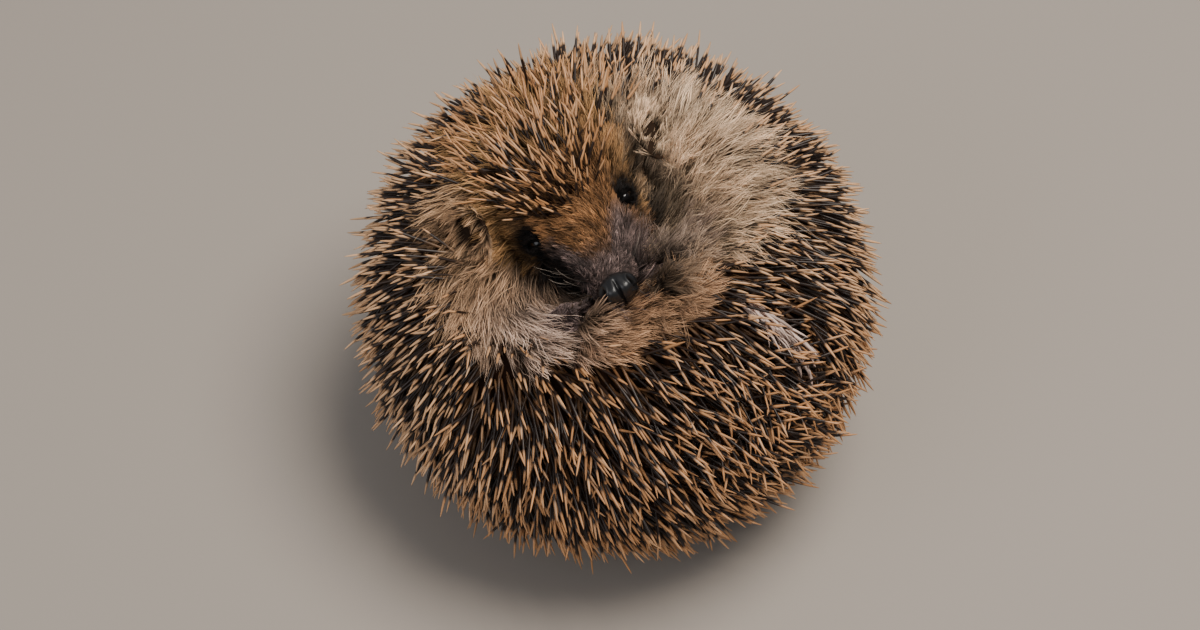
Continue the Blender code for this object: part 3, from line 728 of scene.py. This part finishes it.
def tapers(
    name, roots, start_way, end_way, length, thickness, profile, sides, colour, unwrapped,
    wave=None, tone=None,
):
    """One mesh of closed tapers. They start along start_way and bend to end_way.

    profile holds (share of the length, share of the thickness) from the root to below the tip.
    tone, random unless given, tells the tapers apart in their material.
    """
    count, rings = len(roots), len(profile)
    shares = np.array([share for share, _ in profile] + [1.0])
    swell = np.array([swell for _, swell in profile])
    bend = shares[None, :, None] * start_way[:, None, :]
    bend = bend + 0.5 * shares[None, :, None] ** 2 * (end_way - start_way)[:, None, :]
    line = roots[:, None, :] + bend * length[:, None, None]
    sideways = unit(np.cross(start_way, end_way + rng.normal(0, 0.05, (count, 3))))
    if wave is not None:
        height, turns, phase = wave
        swing = np.sin(2 * math.pi * (turns[:, None] * shares + phase[:, None])) * shares
        line = line + (swing * height[:, None])[:, :, None] * sideways[:, None, :]
    world_line = from_curl(line.reshape(-1, 3)).reshape(line.shape)
    floor_height = thickness[:, None] + FLOOR_GAP + PRESSED_LAYER * rng.random((count, 1)) * shares
    world_line[:, :, 2] = np.maximum(world_line[:, :, 2], floor_height)
    side_world, way_world = sideways @ CURL.T, unit(start_way + end_way) @ CURL.T
    upward = unit(np.cross(way_world, side_world))
    turn = circle(sides)[None, :, None]
    rim = np.cos(turn) * side_world[:, None, :] + np.sin(turn) * upward[:, None, :]
    radius = thickness[:, None] * swell[None, :]
    ring_points = world_line[:, :-1, None, :] + radius[:, :, None, None] * rim[:, None, :, :]
    per = rings * sides + 2
    vertices = np.empty((count, per, 3), dtype=np.float32)
    vertices[:, : rings * sides] = ring_points.reshape(count, -1, 3)
    vertices[:, -2] = world_line[:, 0]
    vertices[:, -1] = world_line[:, -1]
    quads, caps = map(np.array, tube_faces(sides, rings))
    shift = (np.arange(count) * per)[:, None]
    loops = np.hstack([quads.ravel()[None] + shift, caps.ravel()[None] + shift]).astype(np.int32)
    totals = np.tile(np.r_[np.full(len(quads), 4), np.full(len(caps), 3)], count).astype(np.int32)
    mesh = bpy.data.meshes.new(name)
    mesh.vertices.add(count * per)
    mesh.vertices.foreach_set("co", vertices.ravel())
    mesh.loops.add(loops.size)
    mesh.loops.foreach_set("vertex_index", loops.ravel())
    mesh.polygons.add(len(totals))
    starts = np.concatenate([[0], np.cumsum(totals)[:-1]]).astype(np.int32)
    mesh.polygons.foreach_set("loop_start", starts)
    mesh.polygons.foreach_set("loop_total", totals)
    mesh.update(calc_edges=True)
    mesh.shade_smooth()
    along = np.concatenate([np.repeat(shares[:-1], sides), [0.0, 1.0]])
    around = np.concatenate([np.tile(np.arange(sides) / sides, rings), [0.5, 0.5]])
    mark(mesh, "along", np.tile(along, count))
    mark(mesh, "tone", np.repeat(rng.random(count) if tone is None else tone, per))
    mark(mesh, "tint", np.repeat(colour, per, axis=0))
    patch = unwrapped[:, None, :] + (np.column_stack([around, along]) - 0.5) * PATCH
    layer = mesh.uv_layers.new(name="OFBake")
    layer.data.foreach_set("uv", patch.reshape(-1, 2)[loops.ravel()].astype(np.float32).ravel())
    obj = made_of(mesh, name)
    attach(obj, "root")
    return obj


def round_the_ball(points):
    """An unwrap of the ball: the turn round the face axis, and the height along it."""
    way = unit(points)
    return np.column_stack([np.arctan2(way[:, 1], way[:, 0]) / (2 * math.pi) + 0.5, way[:, 2] / 2 + 0.5])


def round_the_head(points):
    """An unwrap of the head: the turn round the line from snout to nape, and the way back."""
    head = to_head(points)
    turn = np.arctan2(head[:, 0], -head[:, 2]) / (2 * math.pi) + 0.5
    return np.column_stack([turn, np.clip(head[:, 1] / 0.070 + 0.03, 0.01, 0.99)])


def round_the_hollow(points):
    """An unwrap of the hollow's walls: the turn round its middle, and the way out to its rim."""
    across, along = points[:, 0] - HOLLOW_MIDDLE[0], points[:, 1] - HOLLOW_MIDDLE[1]
    share = hollow_share(points[:, 0], points[:, 1])
    turn = np.arctan2(along, across) / (2 * math.pi) + 0.5
    return np.column_stack([turn, np.clip(share / 1.5, 0.01, 0.99)])


# ---- Spines -----------------------------------------------------------------------------------
# Hollow hairs of hard keratin, 20 mm long on the body and shorter on the crown: a brown shaft, a
# near-black band and a cream to tan tip. They lie back along the body and cross a little.

SPINE_STROKES = tuple(  # places in the view, and the heading there: 0 to the right and 90 up
    (x / 1000, y / 1000, heading)
    for x, y, heading in (
        (-66, -1, 205), (-52, -29, 237), (-32, -43, 262), (-16, -57, 288), (1, -51, 315),
        (10, -62, 305), (21, -48, 340), (7, -23, 345), (-5, -12, 330), (-14, -24, 310), (40, -43, 355),
        (68, -1, -38), (66, 27, -8), (61, -8, -42), (59, 6, -38), (57, -19, -40), (66, -20, -42),
        (44, 6, -22), (52, 47, 35), (35, 64, 50), (1, 66, 90), (-32, 61, 120),
        (-52, 47, 150), (-63, 30, 170), (-69, 13, 185), (-37, 40, 150), (-20, 34, 125),
        (-15, 45, 102), (-4, 50, 86), (7, 56, 72), (-31, 26, 178), (-8, 38, 92), (28, 0, 8),
        (22, -12, -60), (26, -27, -40),
    )
)
SPINE_STROKE_SPREAD = 0.014
FACE_SOURCE = np.array((0.002, 0.014, 0.050))
FLOOR_SINK = -np.array(CURL_TURN.transposed() @ Vector((0, 0.10, 0.99))) * 0.05


def away_from_face(points):
    """From the face round the ball to the patch it lies on."""
    out, to_floor = points - FACE_SOURCE, FLOOR_SINK - points
    out = out / (out**2).sum(axis=1)[:, None]
    return unit(out + to_floor / (to_floor**2).sum(axis=1)[:, None])


# The matted clump is rooted along a line in the view, and the spines there lie under it.
MAT_START, MAT_END = np.array((0.0335, -0.0005)), np.array((0.0485, -0.0140))


def from_mat(points):
    """Distance from the line that the matted clump is rooted on."""
    flat = to_view(points)[:, :2] - MAT_START
    share = np.clip(flat @ (MAT_END - MAT_START) / ((MAT_END - MAT_START) ** 2).sum(), 0, 1)
    apart = np.linalg.norm(flat - share[:, None] * (MAT_END - MAT_START), axis=1)
    return np.where(points[:, 2] > 0, apart, 1.0)


BODY_SPINES = 1.9, 0.00162, 0.0195, 34, 0.00043  # roots tried on a square mm, least gap, length,
CROWN_SPINES = 2.6, 0.00135, 0.0150, 31, 0.00037  # degrees of rise, and half thickness
BROW_SHORTENING, BROW_RISE, BROW_THINNING = 0.0050, 31, 0.00006
RIM_SHORTENING, RIM_RISE = 0.0040, -9
CROWN_MARGIN = 0.004
SPINE_ROOT = 0.0008  # below the skin
CREAM, TAN, SPINE_BROWN = sun(198, 158, 120), sun(176, 126, 82), sun(34, 20, 12)
SPINE_PROFILE = ((0.0, 0.50), (0.15, 0.92), (0.70, 0.98), (0.885, 0.72), (0.972, 0.33))
SPINE_PIECES = 3
PARTING = (0.038, -0.025), 0.013  # where spines cross most: its place and spread in the view
BAND_SHIFT = 0.10  # of its length, how far the dark band's end moves for a tone of 1

crowned = on_head(centres, CROWN_MARGIN)
rooted = []
for (density, gap, *_), where in ((BODY_SPINES, ~crowned), (CROWN_SPINES, crowned)):
    points, normals = scatter(density * (spiny(centres) * where))
    kept = spaced(points, gap)
    rooted.append((points[kept], normals[kept]))
points, normals = (np.vstack(both) for both in zip(*rooted))
back_lift = -0.35 * smooth_step(1.15, 1.6, hollow_share(*points.T[:2]))
flow = combed(
    points, normals, SPINE_STROKES, SPINE_STROKE_SPREAD, away_from_face(points), 0.12, back_lift
)
# None points into the hollow.
outward = points[:, :2] - np.array(HOLLOW_MIDDLE)
outward = (outward * flow[:, :2]).sum(axis=1) / np.linalg.norm(outward, axis=1)
kept = (outward > -0.30) | (points[:, 2] < 0.015)
points, normals, flow = points[kept], normals[kept], flow[kept]
count = len(points)
crown = on_head(points, CROWN_MARGIN)
rim = smooth_step(1.35, 1.0, hollow_share(points[:, 0], points[:, 1])) * (points[:, 2] > 0.02)
brow = crown * smooth_step(0.040, 0.028, points[:, 1])
under_mat = smooth_step(0.0065, 0.0040, from_mat(points))
_, _, body_length, body_rise, body_thickness = BODY_SPINES
_, _, crown_length, crown_rise, crown_thickness = CROWN_SPINES
length = np.where(crown, crown_length - BROW_SHORTENING * brow, body_length - RIM_SHORTENING * rim)
length = length * rng.normal(1, 0.08, count) * (1 - 0.35 * under_mat)
rise = np.where(crown, crown_rise + BROW_RISE * brow, body_rise + RIM_RISE * rim)
rise = np.radians(rise * (1 - 0.6 * under_mat) + rng.normal(0, 9, count))
view = to_view(points)
low = smooth_step(0.025, -0.025, view[:, 1]) * smooth_step(-0.055, -0.02, view[:, 0])
parting = near(view[:, :2], *PARTING)
swerve = rng.normal(0, 1, count) * (0.24 + 0.14 * low + 0.16 * crown + 0.55 * parting)
flow = turned(flow, np.cross(normals, flow), swerve)
start_way = turned(flow, normals, rise)
end_way = turned(flow, normals, rise - np.radians(rng.normal(8, 5, count)))
thickness = np.where(crown, crown_thickness - BROW_THINNING * brow, body_thickness)
thickness = thickness * rng.normal(1, 0.12, count)
warmth = np.clip(np.maximum(low, 0.9 * crown) * 0.8 + rng.normal(0.1, 0.25, count), 0, 1)
colour = blend(CREAM, TAN, warmth) * rng.normal(1, 0.14, (count, 1)).clip(0.6, 1.4)
# The dark band ends at a different height in each spine, and lower on the crown.
band_drop = rng.random(count) + rng.exponential(0.25, count) + 1.3 * crown


def mixed(tree, factor, first, second, mode="MIX"):
    """A colour mix. Each input is a socket, a colour or a number."""
    sockets = {0: factor, 6: first, 7: second}
    return node(tree, "ShaderNodeMix", sockets, data_type="RGBA", blend_type=mode).outputs[2]


def ramp(tree, factor, stops):
    """A grey that changes through (place, value) stops as the factor socket grows."""
    made = node(tree, "ShaderNodeValToRGB", {0: factor})
    elements = made.color_ramp.elements
    while len(elements) < len(stops):
        elements.new(0.5)
    for element, (place, value) in zip(elements, stops):
        element.position = place
        element.color = (value, value, value, 1)
    return made.outputs[0]


spine_material, shader, tree = principled("spines", (0.5, 0.4, 0.25), 0.42, shine=0.45)
sockets = {0: attribute(tree, "tone"), 1: BAND_SHIFT, 2: attribute(tree, "along")}
place = node(tree, "ShaderNodeMath", sockets, operation="MULTIPLY_ADD").outputs[0]
darkness = ((0.0, 0.75), (0.25, 0.60), (0.40, 0.80), (0.50, 1.0), (0.81, 1.0), (0.87, 0.0))
banded = mixed(tree, ramp(tree, place, darkness), attribute(tree, "tint", "Color"), tuple(SPINE_BROWN))
tree.links.new(banded, shader.inputs["Base Color"])

order = np.argsort(np.arctan2(view[:, 1], view[:, 0]))
unwrapped = round_the_ball(points)
for piece, members in enumerate(np.array_split(order, SPINE_PIECES)):
    spines = tapers(
        f"spines_{piece + 1}", points[members] - normals[members] * SPINE_ROOT, start_way[members],
        end_way[members], length[members], thickness[members], SPINE_PROFILE, 5,
        colour[members], unwrapped[members], tone=band_drop[members],
    )
    spines.data.materials.append(spine_material)


# ---- Fur --------------------------------------------------------------------------------------
# Short on the muzzle and paws, longer on the forehead and cheeks, and long and wavy on the walls
# of the hollow, where it fans out over the spines. It grows in tufts whose hairs close to a point.

FUR_STROKES = tuple(  # as for the spines
    (x / 1000, y / 1000, heading)
    for x, y, heading in (
        # the animal's left wall of the hollow, from above the eye round to the chin
        (16, 47, 58), (26, 38, 22), (29, 28, -5), (32, 21, -25), (26, 18, -12), (16, 25, 40),
        (11, 34, 62), (22, 50, 50), (33, 44, 20), (40, 30, 0), (8, 44, 75), (38, 50, 30),
        (14, 12, 40), (22, 10, 10), (20, 4, 15), (12, 2, 35),
        # forehead and cheek on its right, and the ruff behind them
        (-14, 21, 170), (-24, 18, 192), (-33, 21, 206), (-37, 15, 228), (-40, 8, 250),
        (-43, -2, 262), (-37, -9, 275), (-25, 0, 300), (-24, -8, 345), (-30, -15, 300),
        (-19, -2, 340), (-20, -15, 335), (-48, 20, 225), (-52, 8, 240), (-50, -6, 258),
        (-42, -16, 280), (-44, 30, 205), (-36, 32, 190), (-12, -12, 350),
        # under the chin
        (-1, -5, 15), (-7, -9, 8), (13, -1, 15), (8, -10, 5), (18, -8, -5), (-16, -20, 345),
    )
)
FUR_STROKE_SPREAD = 0.0085
LOCK_SIZE = 0.0032  # of the clumps that differ in length, lift and colour
FUR_RISE, FUR_TIP_RISE, CHEEK_RISE, LOCK_RISE = 34, 8, 16, 10  # degrees off the skin
FUR_ROOT = 0.0003  # below the skin
TUFT_WIDTH, TUFT_WIDENING, TUFT_CLOSING = 0.00040, 0.042, 1.8
WAVE_HEIGHT, WAVE_LENGTH = 0.040, 0.011  # the first as a share of the hair's length
AMONG_SPINES = 0.30  # how thickly fur grows between the crown's spines
SPINE_OVERLAP = 0.12  # how far fur grows on between the first spines, in hollow shares
TANGLE = (0.015, 0.008), 0.012  # the disorder beside the muzzle: its place and spread in the view
PALE_SHARE, PALE_END, PALE_LIGHTENING = 0.10, 0.028, 2.2  # pale hairs on the muzzle
FACE_LENGTHS = (  # how far back from the snout, and how long the fur is there
    (0.003, 0.0019), (0.008, 0.0026), (0.016, 0.0036), (0.026, 0.0065), (0.036, 0.0105),
    (0.050, 0.0130),
)
EAR_HOLE = 0.0050  # no fur grows nearer to an ear's middle
EAR_LENGTHS = ((EAR_HOLE, 0.0040), (0.0075, 0.0070), (0.0095, 0.0150))  # from the middle out
WALL_LENGTH, LIP_SHORTENING, RUFF_LENGTHENING = 0.0150, 0.0055, 0.0040
LEG_LENGTH, PAW_LENGTH = 0.0100, 0.0016


def away_from_nose(points):
    """Back from the nose on the head, and out of the hollow round it."""
    out = unit(points - np.array(SNOUT_TIP))
    over = points - np.array((*HOLLOW_MIDDLE, 0.020))
    return np.where(on_head(points, HAIR_MARGIN)[:, None], out, unit(over))


def fur_length(points):
    head = to_head(points)
    wall = WALL_LENGTH - LIP_SHORTENING * at_lip(points, 0.004)
    wall = wall + RUFF_LENGTHENING * smooth_step(-0.01, -0.035, points[:, 0])
    face = np.interp(head[:, 1], *np.transpose(FACE_LENGTHS))
    length = np.where(on_head(points, HAIR_MARGIN), face, wall)
    for side in (1, -1):
        length = length * (1 - 0.86 * near(head, on_side(EYE_PLACE, side), 0.0070))
    ear = np.interp(ear_distance(head), *np.transpose(EAR_LENGTHS))
    length = np.where(on_head(points, 0.002), length, np.minimum(length, ear))
    length = np.where(limb_nearness(points, LEGS_AND_TAIL) > 0.4, LEG_LENGTH, length)
    return np.where(limb_nearness(points, SHOWN_PAW) > 0.3, PAW_LENGTH, length)


def bare(curl_points):
    """1 where no fur grows: on the nose, in the ears, and on the eyes and their lids."""
    head = to_head(curl_points)
    found = smooth_step(0.0038, 0.0030, head[:, 1]) * on_head(curl_points, 0.004)
    found = np.maximum(found, ear_distance(head) < EAR_HOLE)
    for side in (1, -1):
        _, distance, front, slit = eye_slit(head, side)
        found = np.maximum(found, (front > 0.2) & (distance < EYE_RADIUS + 0.002) & (slit < 2.4))
    return found


furry = 1 - (1 - AMONG_SPINES * crowned) * spiny(centres, SPINE_OVERLAP)
furry = furry * (1 - bare(centres)) * (centres[:, 2] > 0.004)
face_here = on_head(centres, HAIR_MARGIN)
short = smooth_step(0.030, 0.010, to_head(centres)[:, 1]) * face_here
short = np.maximum(short, limb_nearness(centres, SHOWN_PAW)) > 0.3
wall_here = furry * ~face_here * ~short * (1 + limb_nearness(centres, LEGS_AND_TAIL))
wall_here = wall_here * (1 + (ear_distance(to_head(centres)) < 0.0085))

fur_material, shader, tree = principled("fur", (0.3, 0.2, 0.1), 0.55, shine=0.25)
# Along each hair: near black at the root and brighter than its tint at the tip. This is painted shade
# deep in the coat and painted light on the tips, over the hair's own darker base.
shade = ramp(tree, attribute(tree, "along"), ((0.0, 0.05), (0.40, 0.24), (0.75, 0.85), (1.0, 1.20)))
shaded = mixed(tree, 1.0, attribute(tree, "tint", "Color"), shade, "MULTIPLY")
uneven = ramp(tree, attribute(tree, "tone"), ((0.0, 0.62), (1.0, 1.25)))
tree.links.new(mixed(tree, 1.0, shaded, uneven, "MULTIPLY"), shader.inputs["Base Color"])
FUR_PROFILE = ((0.0, 0.9), (0.33, 1.0), (0.66, 0.8), (0.88, 0.45))
SHORT_PROFILE = ((0.0, 0.9), (0.45, 1.0), (0.82, 0.55))

# Name, tufts on a square mm, hairs in each, where, half thickness, profile, unwrap and pieces.
fur_sets = (
    ("fur_muzzle", 2.9, 4, furry * short, 0.000075, SHORT_PROFILE, round_the_head, 2),
    ("fur_face", 1.15, 7, furry * face_here * ~short, 0.000090, FUR_PROFILE, round_the_head, 2),
    ("fur_wall", 0.52, 8, wall_here, 0.000092, FUR_PROFILE, round_the_hollow, 3),
)
for name, density, hairs, where, thick, profile, unwrap, pieces in fur_sets:
    points, normals = scatter(density * where)
    unwrapped = unwrap(points)
    order = np.argsort(unwrapped[:, 0])
    points, normals, unwrapped = points[order], normals[order], unwrapped[order]
    count = len(points)
    on_face = on_head(points, HAIR_MARGIN)
    flow = combed(
        points, normals, FUR_STROKES, FUR_STROKE_SPREAD, away_from_nose(points), 0.25,
        np.full(count, 0.02),
    )
    lock = np.array([noise.noise(Vector(point) / LOCK_SIZE) for point in points]) * 2
    length = fur_length(points) * rng.normal(1, 0.12, count) * (1 + 0.22 * lock)
    tangle = near(to_view(points)[:, :2], *TANGLE) * ~on_face
    swerve = rng.normal(0, 0.22, count) * (1 + 3.0 * tangle)
    flow = turned(flow, np.cross(normals, flow), swerve)
    cheek = on_face * smooth_step(0.010, 0.018, abs(to_head(points)[:, 0]))
    rise = rng.normal(FUR_RISE, 7, count) + CHEEK_RISE * cheek + LOCK_RISE * lock
    start_way = turned(flow, normals, np.radians(rise))
    end_way = turned(flow, normals, np.radians(rng.normal(FUR_TIP_RISE, 7, count)))
    colour = fur_colour(points) * (rng.normal(1, 0.22, count) + 0.45 * lock).clip(0.35, 1.8)[:, None]
    pale = (rng.random(count) < PALE_SHARE) & (to_head(points)[:, 1] < PALE_END) & on_face
    colour[pale] *= PALE_LIGHTENING
    # The hairs of a tuft start apart and close to one point.
    tuft = np.repeat(np.arange(count), hairs)
    total = len(tuft)
    offset = rng.normal(0, 1, (total, 3)) * (TUFT_WIDTH + TUFT_WIDENING * length[tuft, None])
    offset -= normals[tuft] * (offset * normals[tuft]).sum(axis=1)[:, None]
    hair_length = length[tuft] * rng.uniform(0.72, 1.05, total)
    hair_start = unit(start_way[tuft] + rng.normal(0, 0.08, (total, 3)))
    hair_end = end_way[tuft] - offset * (TUFT_CLOSING / hair_length[:, None])
    hair_end = hair_end + rng.normal(0, 0.06, (total, 3))
    hair_root = points[tuft] + offset - normals[tuft] * FUR_ROOT
    hair_thickness = thick * rng.uniform(0.75, 1.2, total)
    waves = (
        hair_length * WAVE_HEIGHT * rng.uniform(0.3, 1.4, total),
        np.clip(hair_length / WAVE_LENGTH, 0.4, 1.6) * rng.uniform(0.8, 1.2, total),
        rng.random(count)[tuft] + rng.normal(0, 0.08, total),
    )
    for piece, members in enumerate(np.array_split(np.arange(total), pieces)):
        coat = tapers(
            f"{name}_{piece + 1}", hair_root[members], hair_start[members], hair_end[members],
            hair_length[members], hair_thickness[members], profile, 3,
            colour[tuft[members]], unwrapped[tuft[members]], [wave[members] for wave in waves],
        )
        coat.data.materials.append(fur_material)


# ---- Nose -------------------------------------------------------------------------------------
# A wet black pad, 10 mm across: two round lobes parted by a groove, with a comma-shaped nostril
# under a thin rim at each side.

NOSE_SIZE = np.array((0.0053, 0.0042, 0.0048))
NOSE_MIDDLE = (0.0, 0.0030, 0.0004)
NOSE_SIDES, NOSE_RINGS, NOSE_WRAP = 120, 64, 0.72  # the last, as a share of the way to its back
LOBE, GROOVE, LIP_FOLD = 0.00105, 0.00095, 0.0006  # heights and depths on the pad
NOSTRIL_DEPTH, NOSTRIL_RIM = 0.0026, 0.00050


def nose_shape(way):
    """The pad's surface, for unit ways out from its middle in the head's frame."""
    point = way * NOSE_SIZE
    across, up = abs(point[:, 0]), point @ np.array((0, 0.50, 0.87))
    front = smooth_step(-0.25, 0.45, way @ np.array((0, -0.87, 0.50)))
    lobes = LOBE * np.exp(-((across - 0.0019) ** 2 + (up - 0.0008) ** 2) / 0.0017**2)
    groove = GROOVE * np.exp(-((across / 0.00045) ** 2)) * smooth_step(0.0046, 0.0030, up)
    lip = LIP_FOLD * np.exp(-(((up + 0.0034) / 0.0008) ** 2))
    nostril = np.hypot((across - 0.0041 + 0.30 * (up - 0.0006)) / 0.00085, (up - 0.0006) / 0.00195)
    tail = np.hypot((across - 0.0047) / 0.0011, (up + 0.0011) / 0.00060)
    hole = NOSTRIL_DEPTH * smooth_step(1.0, 0.40, np.minimum(nostril, tail))
    rim = NOSTRIL_RIM * np.exp(-(((np.minimum(nostril, tail) - 1.35) / 0.28) ** 2))
    return point + way * (front * (lobes - groove - lip - hole + rim))[:, None]


rings = []
turns = circle(NOSE_SIDES)
for lean in np.linspace(0, math.pi * NOSE_WRAP, NOSE_RINGS)[1:]:
    back = np.full(NOSE_SIDES, -math.cos(lean))
    ways = np.column_stack([np.cos(turns) * math.sin(lean), back, np.sin(turns) * math.sin(lean)])
    rings.append(from_head(nose_shape(ways) + NOSE_MIDDLE))
tips = from_head(nose_shape(np.array([(0.0, -1.0, 0.0), (0.0, 1.0, 0.0)])) + NOSE_MIDDLE)
nose = solid("nose_pad", *loft(rings, *tips))
nose_material, shader, tree = principled("nose_leather", (0.006, 0.006, 0.007), 0.36)
pebbles = node(tree, "ShaderNodeTexVoronoi", {"Vector": object_place(tree), "Scale": 3200})
roughen(tree, shader, pebbles.outputs["Distance"], 0.25, 0.0001)
nose.data.materials.append(nose_material)
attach(nose, "root")
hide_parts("nose")


# ---- Eyes -------------------------------------------------------------------------------------
# Small round wet black eyes, which show between nearly closed lids. They sit as deep in the head
# as their bulge in the skin.

eye_material, _, _ = principled("eye", (0.003, 0.002, 0.002), 0.06, shine=0.4)
for side, side_name in ((1, "left"), (-1, "right")):
    middle = from_head([on_side(EYE_PLACE, side)])[0]
    form = ball_form((EYE_RADIUS,) * 3, middle, sides=40, rings=24)
    eye = solid(f"eyeball_{side_name}", *form)
    eye.data.materials.append(eye_material)
    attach(eye, "root")
    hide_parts(f"eye_{side_name}")


# ---- Claws and whiskers -----------------------------------------------------------------------
# A curved dark claw of keratin on each of the sixteen toes, rooted in the top of the toe, and
# stiff single hairs on the sides of the muzzle, half of them pale.

CLAW_LENGTH, CLAW_THICKNESS = 0.0029, 0.00038
CLAW_AHEAD, CLAW_SINK, CLAW_CURVE = 0.0014, 0.0002, 1.1
CLAW_PROFILE = ((0.0, 0.7), (0.2, 1.0), (0.45, 0.85), (0.7, 0.6), (0.9, 0.3))
CLAW_BASE, CLAW_TIP = sun(34, 26, 23), sun(74, 60, 50)
toe_middles, toe_across, toe_ways = (np.array([list(part) for part in parts]) for parts in zip(*toes))
toe_tops = np.cross(toe_across, toe_ways)
toe_tops *= np.sign(toe_tops[:, 2])[:, None]
claws = tapers(
    "claws", toe_middles + toe_ways * CLAW_AHEAD - toe_tops * CLAW_SINK, unit(toe_ways),
    unit(toe_ways - toe_tops * CLAW_CURVE), np.full(len(toes), CLAW_LENGTH),
    np.full(len(toes), CLAW_THICKNESS), CLAW_PROFILE, 8, np.tile(CLAW_BASE, (len(toes), 1)),
    round_the_ball(toe_middles),
)
claw_material, shader, tree = principled("claws", tuple(CLAW_BASE), 0.35)
paler = mixed(tree, attribute(tree, "along"), attribute(tree, "tint", "Color"), tuple(CLAW_TIP))
tree.links.new(paler, shader.inputs["Base Color"])
claws.data.materials.append(claw_material)

WHISKER_COUNT, WHISKER_THICKNESS = 64, 0.00006
WHISKER_LENGTHS = 0.007, 0.013
WHISKERS_FROM, WHISKERS_TO = 0.0075, 0.019  # back from the snout
WHISKER_PROFILE = ((0.0, 1.0), (0.25, 0.9), (0.5, 0.75), (0.75, 0.5), (0.92, 0.3))
aside, back, height = to_head(centres).T
whiskered = on_head(centres, 0.002) & (back > WHISKERS_FROM) & (back < WHISKERS_TO)
whiskered = whiskered & (abs(aside) > 0.004) & (height < 0.003)
points, normals = scatter(1.0 * whiskered, most=WHISKER_COUNT)
count = len(points)
backward = np.array(HEAD_TURN) @ np.array((0, 1, 0))
start_way = unit(normals + backward * 0.8 + rng.normal(0, 0.15, (count, 3)))
end_way = unit(normals * 0.5 + backward * 1.2 + rng.normal(0, 0.2, (count, 3)))
colour = np.where(rng.random((count, 1)) < 0.5, sun(190, 175, 160), sun(40, 32, 28))
whiskers = tapers(
    "whiskers", points, start_way, end_way, rng.uniform(*WHISKER_LENGTHS, count),
    np.full(count, WHISKER_THICKNESS), WHISKER_PROFILE, 5, colour, round_the_ball(points),
)
whiskers.data.materials.append(fur_material)


# ---- Matted spines ----------------------------------------------------------------------------
# A clump on the left of the rump, where a few spines are pale to the root and stuck together.
# They grow from the line that the spines round them are pressed down along.

MAT_COUNT, MAT_REACH = 66, 0.0021
MAT_LENGTHS, MAT_THICKNESSES = (0.010, 0.016), (0.0002, 0.0006)
MAT_CREAM = sun(230, 202, 188)
MAT_HEADING = Vector((0.68, -0.73, 0.0))  # in the view, where it points
points, normals = scatter(1.0 * (from_mat(centres) < MAT_REACH), most=MAT_COUNT)
count = len(points)
matted = np.array(Matrix.Rotation(-BODY_ROLL, 3, "Z") @ MAT_HEADING)
flow = unit(matted - normals * (normals @ matted)[:, None])
flow = unit(flow + rng.normal(0, 0.20, (count, 3)))
start_way = unit(flow + normals * rng.uniform(0.9, 2.4, (count, 1)))
end_way = unit(flow - normals * rng.uniform(0.0, 0.5, (count, 1)))
mats = tapers(
    "matted_spines", points, start_way, end_way, rng.uniform(*MAT_LENGTHS, count),
    rng.uniform(*MAT_THICKNESSES, count), SPINE_PROFILE, 5,
    MAT_CREAM * rng.uniform(0.40, 1.0, (count, 1)), round_the_ball(points),
)
mat_material, shader, tree = principled("matted_spines", (0.7, 0.6, 0.55), 0.5)
tree.links.new(attribute(tree, "tint", "Color"), shader.inputs["Base Color"])
mats.data.materials.append(mat_material)


# ---- Floor, light and camera ------------------------------------------------------------------
# The ball lies on a plain pale floor under a broad warm light, a weak cool one and a dim sky. The
# camera looks down along the line that the face looks up.

CAMERA_PLACE = Vector((-0.0045, -0.0051, 0.805))  # from the ball's middle, across, up and out
FLOOR_REACH = 3.0
camera = bpy.data.objects.new("camera", bpy.data.cameras.new("camera"))
bpy.context.scene.collection.objects.link(camera)
camera.data.lens = 85
camera.data.sensor_width = 36
camera.data.clip_start = 0.01
VIEW_TURN = Matrix.Rotation(math.pi / 2 - FACE_RISE, 3, "X")
camera.location = BALL_CENTRE + VIEW_TURN @ CAMERA_PLACE
camera.rotation_euler = VIEW_TURN.to_euler()
bpy.context.scene.camera = camera

floor_mesh = bpy.data.meshes.new("floor")
floor_corners = [(FLOOR_REACH * x, FLOOR_REACH * y, 0) for x, y in ((-1, -1), (1, -1), (1, 1), (-1, 1))]
floor_mesh.from_pydata(floor_corners, [], [(0, 1, 2, 3)])
floor = made_of(floor_mesh, "floor")
floor_material, _, _ = principled("floor", (0.32, 0.28, 0.245), 0.8)
floor_mesh.materials.append(floor_material)


def area_light(name, place, aim, size, power, colour):
    data = bpy.data.lights.new(name, "AREA")
    data.shape = "DISK"
    data.size = size
    data.energy = power
    data.color = colour
    light = bpy.data.objects.new(name, data)
    bpy.context.scene.collection.objects.link(light)
    light.location = place
    light.rotation_euler = (Vector(aim) - Vector(place)).to_track_quat("-Z", "Y").to_euler()


area_light("key", (0.30, 0.02, 1.05), BALL_CENTRE, 0.6, 15, (1, 0.94, 0.86))
area_light("fill", (-0.8, -0.7, 0.7), BALL_CENTRE, 0.9, 4, (0.94, 0.96, 1))
world = bpy.data.worlds.new("room")
world.use_nodes = True
sky = world.node_tree.nodes["Background"]
sky.inputs["Color"].default_value = (0.9, 0.92, 0.95, 1)
sky.inputs["Strength"].default_value = 0.35
bpy.context.scene.world = world
